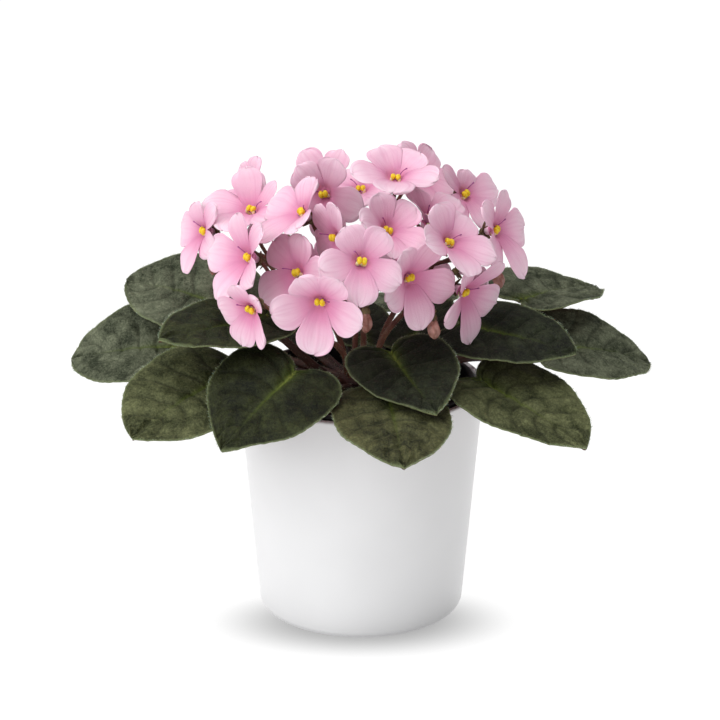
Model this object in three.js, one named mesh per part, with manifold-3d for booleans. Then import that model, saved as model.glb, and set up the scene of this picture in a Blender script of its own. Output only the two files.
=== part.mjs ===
// A potted African violet: a white cover pot, the black grower's pot inside it, the potting mix,
// the crown with its leaf stalks, the heart-shaped blades, and seven flower sprays with their blooms.
// Millimetres, +Z up. The origin is the middle of the pot's underside and the front faces -Y.
// Directions are in degrees. An azimuth is counted from +X towards +Y.

import * as THREE from "three";
import { mergeVertices } from "three/addons/utils/BufferGeometryUtils.js";
import Module from "manifold-3d";

const wasm = await Module();
wasm.setup();

// Driving dimensions

const GAP = 0.3;
const WELD_DISTANCE = 0.0001;
const UP = new THREE.Vector3(0, 0, 1);

const POT = {
  height: 105,
  rimRadius: 55,
  baseRadius: 46,
  footRadius: 44.6,
  footRise: 2.4,
  wall: 3,
  floor: 4,
  fillet: 4,
  lipRise: 1.5,
  heelInset: 0.3,
  heelRise: 0.9,
  segments: 32,
};

const GROW_POT = {
  baseRadius: 36,
  neckRadius: 48.6,
  rimRadius: 51,
  wall: 1.2,
  floor: 1.5,
  edge: 1,
  neckHeight: 98,
  rimTop: 106.3,
  rimRound: 1.3,
  segments: 20,
};

const SOIL = {
  top: 96.5,
  sideGap: 0.8,
  holeGap: 0.5,
  edge: 2,
  holeDepth: 24,
  bump: 1.1,
  fineShare: 0.4,
  coarseWaves: [3.1, 7.3, 4.3, 11],
  fineWaves: [1.7, 2.3],
  rings: [40, 29, 18],
  segments: 20,
};

const STEM = {
  rootRadius: 6.4,
  radius: 8.2,
  shoulderRadius: 9.6,
  top: 108,
  domeRise: 1.2,
  segments: 10,
};

const PETIOLE = {
  radius: 2.1,
  tipRadius: 0.9,
  startHeight: 103,
  leaveStemAt: 12,
  riseToBlade: 0.1,
  approach: 14,
  knee: 45,
  farBase: 66,
  rimReach: 50,
  joinDrop: 2,
  rimClearHeight: 110,
  underBlade: 0.42,
  thinShare: 0.7,
  bladeGap: 0.7,
  rings: 7,
  sides: 5,
};

// The two halves of a blade's outline are each two curves, in shares of its length and width: the lobe
// beside the notch, then the flank that runs to the tip.
const BLADE = {
  thickness: 0.9,
  rows: 10,
  halfColumns: 2,
  lobeShare: 0.42,
  midribPower: 1.5,
  tooth: 0.025,
  quilt: 0.5,
  lobe: [
    [0, 0],
    [-0.2, 0.06],
    [-0.26, 0.5],
    [0.26, 0.5],
  ],
  flank: [
    [0.26, 0.5],
    [0.6, 0.5],
    [0.86, 0.2],
    [1, 0],
  ],
};

// One row for each blade: the azimuth, reach and height of its base, how far its axis turns on from that
// azimuth, its pitch below the level, its roll, how many degrees it arches down along its length, its
// length and width, the slope of its halves up from the midrib, and the droop of its margins.
const LEAF_COLUMNS = [
  "azimuth",
  "reach",
  "height",
  "turn",
  "pitch",
  "roll",
  "arch",
  "length",
  "width",
  "fold",
  "droop",
];
const LEAVES = table(LEAF_COLUMNS, [
  [157, 61, 130, 4, -16, -27, 20, 57, 51, 0.18, 2.7],
  [168, 81, 115, 0, 2, -27, 23, 58, 54, 0.24, 1.1],
  [203, 45, 141, 7, 0, -8, 4, 52, 48, 0.07, 0.9],
  [205, 63, 118, 22, 6, -13, 18, 59, 57, 0.12, 1.7],
  [238, 54, 125, -10, 21, -13, 14, 50, 58, 0.14, 1.5],
  [-66, 32, 128, -2, 13, 8, -4, 52, 47, 0.17, 0.3],
  [-78, 54, 118, -5, 7, -2, 12, 56, 51, 0.03, 3.2],
  [-32, 61.5, 116.5, -4, 14.5, 4, 9, 57.5, 57, 0.19, 2.6],
  [-11, 46, 134, -9, 3, 10, 9, 52, 52, 0.06, 1.1],
  [33, 89, 127, 11, -3, 5, 19, 59, 51, 0.26, 1.8],
  [18, 90, 111, 2, 4, 22, 27, 57, 50, 0.22, 2.0],
  [122, 75, 115, 0, 3, 0, 18, 55, 44, 0.15, 2],
  [98, 77, 110, 0, 0, 4, 18, 57, 44, 0.16, 2],
  [75, 77, 115, 0, 3, -4, 20, 57, 44, 0.15, 2],
  [51, 73, 110, 0, 2, 0, 18, 54, 44, 0.16, 2],
  [132, 33, 113, 0, -17, 3, 8, 29, 25, 0.1, 1],
  [88, 33, 113, 0, -22, 0, 8, 32, 27, 0.1, 1],
  [50, 31, 114, 0, -24, 3, 8, 37, 30, 0.1, 1],
]);

const PETAL_SHEET = {
  thickness: 0.8,
  sinus: 0.42,
  midShare: 0.45,
  bend: 0.2,
  throatDepth: 1.2,
  tubeLength: 4.4,
  outlineTurns: [-1, -0.5, 0, 0.5, 1],
  tipRoundness: 0.8,
};

// The five lobes of a flower, counter-clockwise from the lowest as its face is seen: direction in degrees
// from the flower's right, length and width as shares of its size, and where along it the lobe is widest.
const PETAL_COLUMNS = ["direction", "length", "width", "widest"];
const PETALS = table(PETAL_COLUMNS, [
  [-90, 1.08, 0.88, 0.62],
  [-20, 1.0, 0.84, 0.62],
  [56, 0.84, 0.7, 0.66],
  [124, 0.84, 0.7, 0.66],
  [200, 1.0, 0.84, 0.62],
]);

const ANTHER = {
  radius: 1.8,
  spread: 1.6,
  height: 0.5,
};

// One row for each flower: the place of its throat, the way it faces (yaw to the right of the front, tilt
// upwards), its spin, its size from throat to side petal, the slope of its cup, and its spray.
const BLOOM_COLUMNS = ["x", "y", "z", "yaw", "tilt", "spin", "size", "cup", "spray"];
const BLOOMS = table(BLOOM_COLUMNS, [
  [-17, -66, 164, -10, -10, 5, 19.5, 24, 3],
  [0, -59, 179, 20, 30, 15, 18, 12, 3],
  [-27, -30, 165, -45, 15, -25, 20, 14, 2],
  [-48, -25, 170, -60, 20, 5, 21, 28, 2],
  [-46, -58, 158, -40, -15, 15, 17, 22, 2],
  [-68.5, 4.5, 173, -62.5, 14, 5, 18, 27, 1],
  [-48, 6, 182, -25, 65, 10, 19, 20, 1],
  [-25, -18, 188, -65, 45, 5, 18.5, 22, 6],
  [-16, 5, 190, -25, 5, -15, 19, 14, 6],
  [-11, -34, 182, -60, -5, -15, 19, 6, 3],
  [11, -29, 183, 40, 45, 35, 17.5, 30, 4],
  [15, 0, 198, 10, 70, 15, 19.5, 26, 6],
  [37, -33, 179, 50, 40, 25, 18.5, 28, 4],
  [20, -43, 167, 40, 0, 0, 19.5, 26, 4],
  [44, -29, 156, 55, -15, 0, 19.5, 26, 4],
  [46, 28, 183, 50, 30, -10, 17, 16, 5],
  [58, -7, 177, 65, 15, -10, 19.5, 24, 5],
  [29, -5, 181, 75, 60, -5, 18.5, 32, 5],
  [0, 35, 183, -25, 70, -15, 18.5, 16, 6],
  [-15.5, 54, 180.5, -14.5, 39.5, -13, 18.5, 20, 6],
  [-49, 33, 183, -65, 20, -30, 18.5, 18, 1],
  [25, 34, 190, 55, 35, 25, 19, 18, 6],
  [-21, 55, 138, -175, 0, 5, 19, 16, 7],
  [23, 55, 142, 160, 5, -10, 19, 20, 7],
  [-48, 23, 155, -105, 10, 15, 18.5, 22, 1],
  [48, 34, 146, 105, 5, 5, 18, 22, 5],
]);

// The seven flower sprays: where each one forks.
const FORK_COLUMNS = ["x", "y", "z"];
const FORKS = table(FORK_COLUMNS, [
  [-24, 8, 152],
  [-26, -14, 138],
  [2, -20, 152],
  [22, -12, 150],
  [24, 10, 154],
  [-4, 6, 164],
  [0, 24, 144],
]);

// Closed nodding buds: the place of each, and the spray it grows from.
const BUD_COLUMNS = ["x", "y", "z", "spray"];
const BUDS = table(BUD_COLUMNS, [
  [2, -51, 151, 3],
  [31, -42, 145, 4],
  [-64, 6, 158, 1],
  [60, 0, 154, 5],
]);

const SPRAY = {
  stalkRadius: 1.4,
  stalkTopRadius: 1.1,
  pedicelRadius: 0.85,
  socketDepth: 8,
  socketCut: 16,
  socketReach: 6,
  socketGap: 0.85,
  firstSocket: 173,
  straight: 36,
  forkApproach: 14,
  stalkRings: 5,
  stalkSides: 5,
  pedicelRings: 4,
  pedicelSides: 4,
  calyxBelowThroat: 4.9,
  behindBloom: 16,
  sag: 12,
  intoFork: 0.35,
};

const CALYX = {
  thickness: 0.8,
  tipReach: 4.8,
  notchReach: 2,
  tipRise: 1.1,
  baseDrop: 1.4,
  sepals: 5,
};

const BUD = {
  radius: 2.7,
  length: 11,
  lean: 0.3,
  neck: 6,
  fullFrom: 0.9,
  fullness: 1.9,
  tipShare: 0.14,
  sides: 6,
  rings: 3,
};

// Finishes, as the photo shows them

const FINISHES = {
  glazedCeramic: { color: "#f1f0ec", roughness: 0.35, metalness: 0 },
  blackPlastic: { color: "#17171a", roughness: 0.5, metalness: 0 },
  pottingMix: { color: "#2e2119", roughness: 1, metalness: 0 },
  reddishStem: { color: "#4b2b24", roughness: 0.75, metalness: 0 },
  leafGreen: { color: "#41513f", roughness: 0.85, metalness: 0 },
  flowerStalk: { color: "#6d4a3f", roughness: 0.75, metalness: 0 },
  pinkPetal: { color: "#e3b3d2", roughness: 0.8, metalness: 0 },
};

function finish(name) {
  return new THREE.MeshStandardMaterial(FINISHES[name]);
}

function table(columns, rows) {
  return rows.map((row) => Object.fromEntries(row.map((value, i) => [columns[i], value])));
}

function radians(degrees) {
  return THREE.MathUtils.degToRad(degrees);
}

function along(origin, direction, distance) {
  return origin.clone().addScaledVector(direction, distance);
}

function polar(azimuth, reach, height) {
  const angle = radians(azimuth);
  return new THREE.Vector3(reach * Math.cos(angle), reach * Math.sin(angle), height);
}

// Solids

function solidFrom(points, corners) {
  const geometry = new THREE.BufferGeometry();
  const coordinates = points.flatMap((point) => point.toArray());
  geometry.setAttribute("position", new THREE.Float32BufferAttribute(coordinates, 3));
  geometry.setIndex(corners.flat());
  return geometry;
}

function toBody(geometry) {
  const bare = geometry.clone();
  bare.deleteAttribute("normal");
  bare.deleteAttribute("uv");
  const welded = mergeVertices(bare, WELD_DISTANCE);
  const mesh = new wasm.Mesh({
    numProp: 3,
    vertProperties: welded.attributes.position.array,
    triVerts: Uint32Array.from(welded.index.array),
  });
  return new wasm.Manifold(mesh);
}

function fromBody(body) {
  const mesh = body.getMesh();
  const geometry = new THREE.BufferGeometry();
  geometry.setAttribute("position", new THREE.Float32BufferAttribute(mesh.vertProperties, 3));
  geometry.setIndex([...mesh.triVerts]);
  return geometry;
}

function fuse(geometries) {
  const bodies = geometries.map(toBody);
  return bodies.reduce((whole, body) => whole.add(body));
}

// A closed sheet: a top and an underside of matching points, split into triangles alike, and the rim
// between them along the outline, which runs counter-clockwise as the top is seen.
function sheet(top, underside, faces, outline) {
  const shift = top.length;
  const below = faces.map(([a, b, c]) => [a + shift, c + shift, b + shift]);
  const rim = outline.flatMap((a, i) => {
    const b = outline[(i + 1) % outline.length];
    return [
      [a, a + shift, b + shift],
      [a, b + shift, b],
    ];
  });
  return solidFrom([...top, ...underside], [...faces, ...below, ...rim]);
}

// A tapering round stalk along a curve, closed at both ends.
function limb(curve, rings, sides, radiusAt) {
  const frames = curve.computeFrenetFrames(rings, false);
  const points = [];
  for (let i = 0; i <= rings; i += 1) {
    const share = i / rings;
    const middle = curve.getPointAt(share);
    for (let j = 0; j < sides; j += 1) {
      const angle = (2 * Math.PI * j) / sides;
      const point = along(middle, frames.normals[i], radiusAt(share) * Math.cos(angle));
      points.push(point.addScaledVector(frames.binormals[i], radiusAt(share) * Math.sin(angle)));
    }
  }
  const corners = [];
  const start = points.length;
  points.push(curve.getPointAt(0), curve.getPointAt(1));
  for (let j = 0; j < sides; j += 1) {
    const next = (j + 1) % sides;
    for (let i = 0; i < rings; i += 1) {
      const here = i * sides;
      const on = here + sides;
      corners.push([here + j, here + next, on + j], [here + next, on + next, on + j]);
    }
    const last = rings * sides;
    corners.push([start, next, j], [start + 1, last + j, last + next]);
  }
  return solidFrom(points, corners);
}

function turned(profile, segments) {
  const points = profile.map(([radius, height]) => new THREE.Vector2(radius, height));
  const geometry = new THREE.LatheGeometry(points, segments);
  geometry.rotateX(Math.PI / 2);
  return geometry;
}

// Pots and potting mix

function potGeometry() {
  const inner = POT.rimRadius - POT.wall;
  const slope = (POT.rimRadius - POT.baseRadius) / POT.height;
  const lip = POT.height - POT.lipRise;
  const filletTop = POT.floor + POT.fillet;
  const innerLow = POT.baseRadius - POT.wall + slope * filletTop;
  const profile = [
    [0, 0],
    [POT.footRadius, 0],
    [POT.baseRadius - POT.heelInset, POT.heelRise],
    [POT.baseRadius + slope * POT.footRise, POT.footRise],
    [POT.rimRadius, lip],
    [POT.rimRadius - POT.wall / 2, POT.height],
    [inner, lip],
    [innerLow, filletTop],
    [innerLow - POT.fillet, POT.floor],
    [0, POT.floor],
  ];
  return turned(profile, POT.segments);
}

function growPotGeometry() {
  const bottom = POT.floor + GAP;
  const floor = bottom + GROW_POT.floor;
  const shoulder = GROW_POT.neckHeight + GROW_POT.edge;
  const profile = [
    [0, bottom],
    [GROW_POT.baseRadius - GROW_POT.edge, bottom],
    [GROW_POT.baseRadius, bottom + GROW_POT.edge],
    [GROW_POT.neckRadius, GROW_POT.neckHeight],
    [GROW_POT.rimRadius, shoulder],
    [GROW_POT.rimRadius, GROW_POT.rimTop - GROW_POT.rimRound],
    [GROW_POT.rimRadius - GROW_POT.rimRound, GROW_POT.rimTop],
    [GROW_POT.neckRadius, GROW_POT.rimTop],
    [GROW_POT.neckRadius - GROW_POT.wall, shoulder],
    [GROW_POT.baseRadius - GROW_POT.wall, floor],
    [0, floor],
  ];
  return turned(profile, GROW_POT.segments);
}

// The radius of the grow pot's inside at a height between its floor and its neck.
function growPotInside(height) {
  const floor = POT.floor + GAP + GROW_POT.floor;
  const share = (height - floor) / (GROW_POT.neckHeight + GROW_POT.edge - floor);
  const low = GROW_POT.baseRadius - GROW_POT.wall;
  const high = GROW_POT.neckRadius - GROW_POT.wall;
  return THREE.MathUtils.lerp(low, high, share);
}

function soilGeometry() {
  const bottom = POT.floor + GAP + GROW_POT.floor + GAP;
  const hole = STEM.radius + SOIL.holeGap;
  const profile = [
    [0, bottom],
    [growPotInside(bottom) - SOIL.sideGap - SOIL.edge, bottom],
    [growPotInside(bottom) - SOIL.sideGap, bottom + SOIL.edge],
    [growPotInside(SOIL.top - SOIL.edge) - SOIL.sideGap, SOIL.top - SOIL.edge],
    ...SOIL.rings.map((radius) => [radius, SOIL.top]),
    [hole, SOIL.top],
    [hole, SOIL.top - SOIL.holeDepth],
    [0, SOIL.top - SOIL.holeDepth],
  ];
  const geometry = turned(profile, SOIL.segments);
  const position = geometry.attributes.position;
  for (let i = 0; i < position.count; i += 1) {
    const reach = Math.hypot(position.getX(i), position.getY(i));
    if (position.getZ(i) > SOIL.top - GAP && reach > hole + SOIL.edge) {
      position.setZ(i, SOIL.top + soilBump(position.getX(i), position.getY(i)));
    }
  }
  return geometry;
}

// Crumbs of the mix as a sum of plane waves across its top.
function soilBump(x, y) {
  const [a, b, c, d] = SOIL.coarseWaves;
  const [e, f] = SOIL.fineWaves;
  const coarse = Math.sin(x / a + y / b) * Math.cos(y / c - x / d);
  const fine = Math.sin(x / e - y / f);
  return SOIL.bump * (coarse + SOIL.fineShare * fine);
}

// Leaves

function marginCurve(controls) {
  return new THREE.CubicBezierCurve(...controls.map(([x, y]) => new THREE.Vector2(x, y)));
}

// The margin of one half of the heart, in shares of its length and width, from the notch to the tip.
function marginPoint(share) {
  if (share < BLADE.lobeShare) {
    return marginCurve(BLADE.lobe).getPoint(share / BLADE.lobeShare);
  }
  return marginCurve(BLADE.flank).getPoint((share - BLADE.lobeShare) / (1 - BLADE.lobeShare));
}

// A point of the flat heart: share along the midrib, and side from -1 to 1 across to the margins.
function heartPoint(share, side) {
  const rib = new THREE.Vector2(share ** BLADE.midribPower, 0);
  const margin = marginPoint(share);
  const row = Math.round(share * BLADE.rows);
  const parity = row % 2 === 0 ? 1 : -1;
  const reach = Math.abs(side) * (1 + BLADE.tooth * parity * Math.abs(side));
  const point = rib.lerp(margin, reach);
  const puff = BLADE.quilt * parity * 4 * Math.abs(side) * (1 - Math.abs(side));
  return { x: point.x, y: point.y * Math.sign(side), puff };
}

// The frame of one blade: its base, the axis along it, the side direction and the way it faces.
function bladeFrame(leaf) {
  const base = polar(leaf.azimuth, leaf.reach, leaf.height);
  const heading = radians(leaf.azimuth + leaf.turn);
  const pitch = radians(leaf.pitch);
  const roll = radians(leaf.roll);
  const axis = new THREE.Vector3(
    Math.cos(heading) * Math.cos(pitch),
    Math.sin(heading) * Math.cos(pitch),
    -Math.sin(pitch),
  );
  const level = new THREE.Vector3(-Math.sin(heading), Math.cos(heading), 0);
  const upright = axis.clone().cross(level);
  const side = level.clone().multiplyScalar(Math.cos(roll)).addScaledVector(upright, Math.sin(roll));
  const face = upright.multiplyScalar(Math.cos(roll)).addScaledVector(level, -Math.sin(roll));
  return { base, axis, side, face, bend: radians(leaf.arch) };
}

// The midrib bends as a circular arc; the result is a point on it and the way the blade faces there.
function onMidrib(leaf, frame, x) {
  const angle = frame.bend * x;
  const radius = leaf.length / frame.bend;
  const point = along(frame.base, frame.axis, radius * Math.sin(angle));
  point.addScaledVector(frame.face, -radius * (1 - Math.cos(angle)));
  const up = frame.face.clone().multiplyScalar(Math.cos(angle));
  up.addScaledVector(frame.axis, Math.sin(angle));
  return { point, up };
}

function bladePoint(leaf, frame, share, side) {
  const flat = heartPoint(share, side);
  const { point, up } = onMidrib(leaf, frame, flat.x);
  const across = flat.y * leaf.width;
  const lift = leaf.fold * Math.abs(across) - leaf.droop * (2 * flat.y) ** 2 + flat.puff;
  point.addScaledVector(frame.side, across).addScaledVector(up, lift);
  return { top: point, underside: along(point, up, -BLADE.thickness) };
}

function leafGeometry(leaf) {
  const frame = bladeFrame(leaf);
  const wide = 2 * BLADE.halfColumns + 1;
  const points = [bladePoint(leaf, frame, 0, 0)];
  for (let i = 1; i < BLADE.rows; i += 1) {
    for (let j = -BLADE.halfColumns; j <= BLADE.halfColumns; j += 1) {
      points.push(bladePoint(leaf, frame, i / BLADE.rows, j / BLADE.halfColumns));
    }
  }
  points.push(bladePoint(leaf, frame, 1, 0));
  const tip = points.length - 1;
  const last = tip - wide;
  const faces = [];
  for (let j = 0; j + 1 < wide; j += 1) {
    faces.push([0, 1 + j, 2 + j], [tip, last + j + 1, last + j]);
    for (let a = 1 + j; a < last; a += wide) {
      faces.push([a, a + wide, a + wide + 1], [a, a + wide + 1, a + 1]);
    }
  }
  const rows = Array.from({ length: BLADE.rows - 1 }, (_, i) => 1 + i * wide);
  const left = rows.map((row) => row + wide - 1).reverse();
  const outline = [0, ...rows, tip, ...left];
  const top = points.map((point) => point.top);
  const underside = points.map((point) => point.underside);
  return sheet(top, underside, faces, outline);
}

// The crown and its leaf stalks

function petioleCurve(leaf) {
  const frame = bladeFrame(leaf);
  const heading = leaf.azimuth;
  const below = (x, radius) => {
    const { point, up } = onMidrib(leaf, frame, x);
    return along(point, up, -(BLADE.thickness + PETIOLE.bladeGap + radius));
  };
  const join = below(0, PETIOLE.radius);
  const knee = radians(PETIOLE.knee);
  const approach = along(join, frame.axis, -PETIOLE.approach * Math.cos(knee));
  approach.z -= PETIOLE.approach * Math.sin(knee);
  const leave = polar(heading, PETIOLE.leaveStemAt, PETIOLE.startHeight);
  leave.z += PETIOLE.riseToBlade * Math.max(0, join.z - leave.z);
  const path = [polar(heading, 0, PETIOLE.startHeight), leave];
  if (leaf.reach > PETIOLE.farBase) {
    path.push(polar(heading, PETIOLE.rimReach, PETIOLE.rimClearHeight));
  }
  approach.z = Math.max(approach.z, Math.min(PETIOLE.rimClearHeight, join.z - PETIOLE.joinDrop));
  path.push(approach);
  path.push(join, below(PETIOLE.underBlade / 2, PETIOLE.radius * PETIOLE.thinShare));
  path.push(below(PETIOLE.underBlade, PETIOLE.tipRadius));
  return new THREE.CatmullRomCurve3(path);
}

function petioleRadius(share) {
  return PETIOLE.radius + (PETIOLE.tipRadius - PETIOLE.radius) * share ** 2;
}

function stemGeometry() {
  const bottom = SOIL.top - SOIL.holeDepth + GAP;
  const profile = [
    [0, bottom],
    [STEM.rootRadius, bottom],
    [STEM.radius, SOIL.top - SOIL.holeDepth / 2],
    [STEM.radius, SOIL.top],
    [STEM.shoulderRadius, STEM.top - STEM.domeRise],
    [STEM.shoulderRadius - STEM.domeRise, STEM.top],
    [0, STEM.top],
  ];
  return turned(profile, STEM.segments);
}

function crownGeometry() {
  const petioles = LEAVES.map((leaf) => {
    return limb(petioleCurve(leaf), PETIOLE.rings, PETIOLE.sides, petioleRadius);
  });
  let body = fuse([stemGeometry(), ...petioles]);
  FORKS.forEach((fork, i) => {
    const foot = stalkFoot(i);
    const hole = new THREE.LineCurve3(foot, along(foot, UP, SPRAY.socketCut));
    const socket = limb(hole, 1, 2 * SPRAY.stalkSides, () => SPRAY.stalkRadius + SPRAY.socketGap);
    socket.translate(0, 0, -GAP);
    body = body.subtract(toBody(socket));
  });
  return fromBody(body);
}

// Flower sprays

function stalkFoot(index) {
  const azimuth = SPRAY.firstSocket + (360 * index) / FORKS.length;
  return polar(azimuth, SPRAY.socketReach, STEM.top - SPRAY.socketDepth);
}

function forkPoint(index) {
  return new THREE.Vector3(FORKS[index].x, FORKS[index].y, FORKS[index].z);
}

function stalkCurve(index) {
  const foot = stalkFoot(index);
  const fork = forkPoint(index);
  return new THREE.CubicBezierCurve3(
    foot,
    along(foot, UP, SPRAY.straight),
    along(fork, UP, -SPRAY.forkApproach),
    fork,
  );
}

// A flower's own stalk leaves it backwards for a distance, sags and runs down into the fork.
function pedicelCurve(start, facing, index, distance, sag) {
  const fork = forkPoint(index);
  const behind = along(start, facing, -distance);
  behind.z -= sag;
  const inward = fork.clone().lerp(behind, SPRAY.intoFork);
  return new THREE.CubicBezierCurve3(start, behind, inward, fork);
}

// The five green-brown sepals behind a flower, as one shallow star.
function calyxGeometry(centre, frame) {
  const top = [along(centre, frame.facing, 0)];
  const underside = [along(centre, frame.facing, -CALYX.baseDrop)];
  const outline = [];
  for (let i = 0; i < 2 * CALYX.sepals; i += 1) {
    const angle = (Math.PI * i) / CALYX.sepals;
    const reach = i % 2 === 0 ? CALYX.tipReach : CALYX.notchReach;
    const rise = i % 2 === 0 ? CALYX.tipRise : 0;
    const point = along(centre, frame.right, reach * Math.cos(angle));
    point.addScaledVector(frame.up, reach * Math.sin(angle)).addScaledVector(frame.facing, rise);
    top.push(point);
    underside.push(along(point, frame.facing, -CALYX.thickness));
    outline.push(i + 1);
  }
  const faces = outline.map((a, i) => [0, a, outline[(i + 1) % outline.length]]);
  return sheet(top, underside, faces, outline);
}

function budGeometry(centre, axis) {
  const radiusAt = (share) => {
    const across = BUD.fullness * share - BUD.fullFrom;
    return BUD.radius * Math.max(BUD.tipShare, Math.sqrt(Math.max(0, 1 - across ** 2)));
  };
  const start = along(centre, axis, -BUD.length / 2);
  return limb(new THREE.LineCurve3(start, along(start, axis, BUD.length)), BUD.rings, BUD.sides, radiusAt);
}

function sprayGeometry(index) {
  const stalkTaper = SPRAY.stalkTopRadius - SPRAY.stalkRadius;
  const stalkRadius = (share) => SPRAY.stalkRadius + stalkTaper * share;
  const pieces = [limb(stalkCurve(index), SPRAY.stalkRings, SPRAY.stalkSides, stalkRadius)];
  const pedicel = (start, facing, distance, sag) => {
    const curve = pedicelCurve(start, facing, index, distance, sag);
    return limb(curve, SPRAY.pedicelRings, SPRAY.pedicelSides, () => SPRAY.pedicelRadius);
  };
  for (const bloom of BLOOMS.filter((one) => one.spray === index + 1)) {
    const frame = bloomFrame(bloom);
    const centre = along(frame.throat, frame.facing, -SPRAY.calyxBelowThroat);
    const start = along(centre, frame.facing, -CALYX.thickness / 2);
    const behind = SPRAY.behindBloom - SPRAY.calyxBelowThroat;
    pieces.push(calyxGeometry(centre, frame), pedicel(start, frame.facing, behind, SPRAY.sag));
  }
  for (const bud of BUDS.filter((one) => one.spray === index + 1)) {
    const centre = new THREE.Vector3(bud.x, bud.y, bud.z);
    const axis = centre.clone().sub(forkPoint(index)).setZ(0).normalize();
    axis.multiplyScalar(BUD.lean).addScaledVector(UP, -1).normalize();
    pieces.push(budGeometry(centre, axis), pedicel(along(centre, axis, -BUD.length / 2), axis, BUD.neck, 0));
  }
  return fromBody(fuse(pieces));
}

// Flowers

function bloomFrame(bloom) {
  const yaw = radians(bloom.yaw);
  const tilt = radians(bloom.tilt);
  const spin = radians(bloom.spin);
  const facing = new THREE.Vector3(
    Math.sin(yaw) * Math.cos(tilt),
    -Math.cos(yaw) * Math.cos(tilt),
    Math.sin(tilt),
  );
  const level = new THREE.Vector3(Math.cos(yaw), Math.sin(yaw), 0);
  const upright = facing.clone().cross(level);
  const right = level.clone().multiplyScalar(Math.cos(spin)).addScaledVector(upright, -Math.sin(spin));
  const up = upright.multiplyScalar(Math.cos(spin)).addScaledVector(level, Math.sin(spin));
  const throat = new THREE.Vector3(bloom.x, bloom.y, bloom.z);
  return { throat, facing, right, up };
}

// The outline of the flat five-lobed face, counter-clockwise, in shares of the flower's size.
function faceOutline() {
  return PETALS.flatMap((petal, i) => {
    const before = PETALS[(i + PETALS.length - 1) % PETALS.length].direction;
    const gap = (petal.direction - before + 360) % 360;
    const notch = radians(petal.direction - gap / 2);
    const cos = Math.cos(radians(petal.direction));
    const sin = Math.sin(radians(petal.direction));
    const lobe = PETAL_SHEET.outlineTurns.map((turn) => {
      const angle = (turn * Math.PI) / 2;
      const round = Math.max(0, Math.cos(angle)) ** PETAL_SHEET.tipRoundness;
      const out = petal.length * (petal.widest + (1 - petal.widest) * round);
      const across = (petal.width / 2) * Math.sin(angle);
      return new THREE.Vector2(out * cos - across * sin, out * sin + across * cos);
    });
    const sinus = new THREE.Vector2(Math.cos(notch), Math.sin(notch)).multiplyScalar(PETAL_SHEET.sinus);
    return [sinus, ...lobe];
  });
}

function bloomGeometry(bloom) {
  const frame = bloomFrame(bloom);
  const slope = Math.tan(radians(bloom.cup));
  const place = (flat, height) => {
    const point = along(frame.throat, frame.right, bloom.size * flat.x);
    return point.addScaledVector(frame.up, bloom.size * flat.y).addScaledVector(frame.facing, height);
  };
  const lift = (flat) => {
    const reach = flat.length();
    return bloom.size * slope * reach * (1 - PETAL_SHEET.bend * reach);
  };
  const edge = faceOutline();
  const middle = edge.filter((_, i) => i % 2 === 0);
  const flats = [...middle.map((flat) => flat.clone().multiplyScalar(PETAL_SHEET.midShare)), ...edge];
  const centre = new THREE.Vector2(0, 0);
  const top = [place(centre, -PETAL_SHEET.throatDepth), ...flats.map((flat) => place(flat, lift(flat)))];
  const underside = [
    place(centre, -PETAL_SHEET.tubeLength),
    ...flats.map((flat) => place(flat, lift(flat) - PETAL_SHEET.thickness)),
  ];
  const count = middle.length;
  const faces = middle.flatMap((_, i) => {
    const here = 1 + i;
    const next = 1 + ((i + 1) % count);
    const outer = 1 + count + 2 * i;
    const far = 1 + count + ((2 * i + 2) % edge.length);
    return [
      [0, here, next],
      [here, outer, outer + 1],
      [here, outer + 1, next],
      [next, outer + 1, far],
    ];
  });
  const outline = edge.map((_, i) => 1 + count + i);
  const corolla = sheet(top, underside, faces, outline);
  const anthers = [-1, 1].map((side) => {
    const lobe = new THREE.OctahedronGeometry(ANTHER.radius);
    const centreOfLobe = along(frame.throat, frame.right, side * ANTHER.spread);
    centreOfLobe.addScaledVector(frame.facing, ANTHER.height);
    return lobe.translate(centreOfLobe.x, centreOfLobe.y, centreOfLobe.z);
  });
  return fromBody(fuse([corolla, ...anthers]));
}

// The whole plant in its pot

function twoDigits(number) {
  return String(number).padStart(2, "0");
}

function piece(name, geometry, finishName) {
  const mesh = new THREE.Mesh(geometry, finish(finishName));
  mesh.name = name;
  return mesh;
}

function pottedViolet() {
  const group = new THREE.Group();
  group.add(piece("pot", potGeometry(), "glazedCeramic"));
  group.add(piece("grow_pot", growPotGeometry(), "blackPlastic"));
  group.add(piece("soil", soilGeometry(), "pottingMix"));
  group.add(piece("crown", crownGeometry(), "reddishStem"));
  LEAVES.forEach((leaf, i) => {
    group.add(piece(`leaf_${twoDigits(i + 1)}`, leafGeometry(leaf), "leafGreen"));
  });
  FORKS.forEach((_, i) => {
    group.add(piece(`spray_${i + 1}`, sprayGeometry(i), "flowerStalk"));
  });
  BLOOMS.forEach((bloom, i) => {
    group.add(piece(`bloom_${twoDigits(i + 1)}`, bloomGeometry(bloom), "pinkPetal"));
  });
  return group;
}

const group = pottedViolet();
export default group;
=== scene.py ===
"""A potted African violet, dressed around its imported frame.

Every blade, petal, stalk and pot is a surface of two parameters, worked out as whole numpy arrays
in millimetres, with the places and main forms of the frame's own solids. The last step of each
piece puts its arrays into a mesh in metres. The front of the plant faces -Y and +Z is up.
"""

from __future__ import annotations

import logging
from dataclasses import dataclass, field, replace
from enum import Enum

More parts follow.
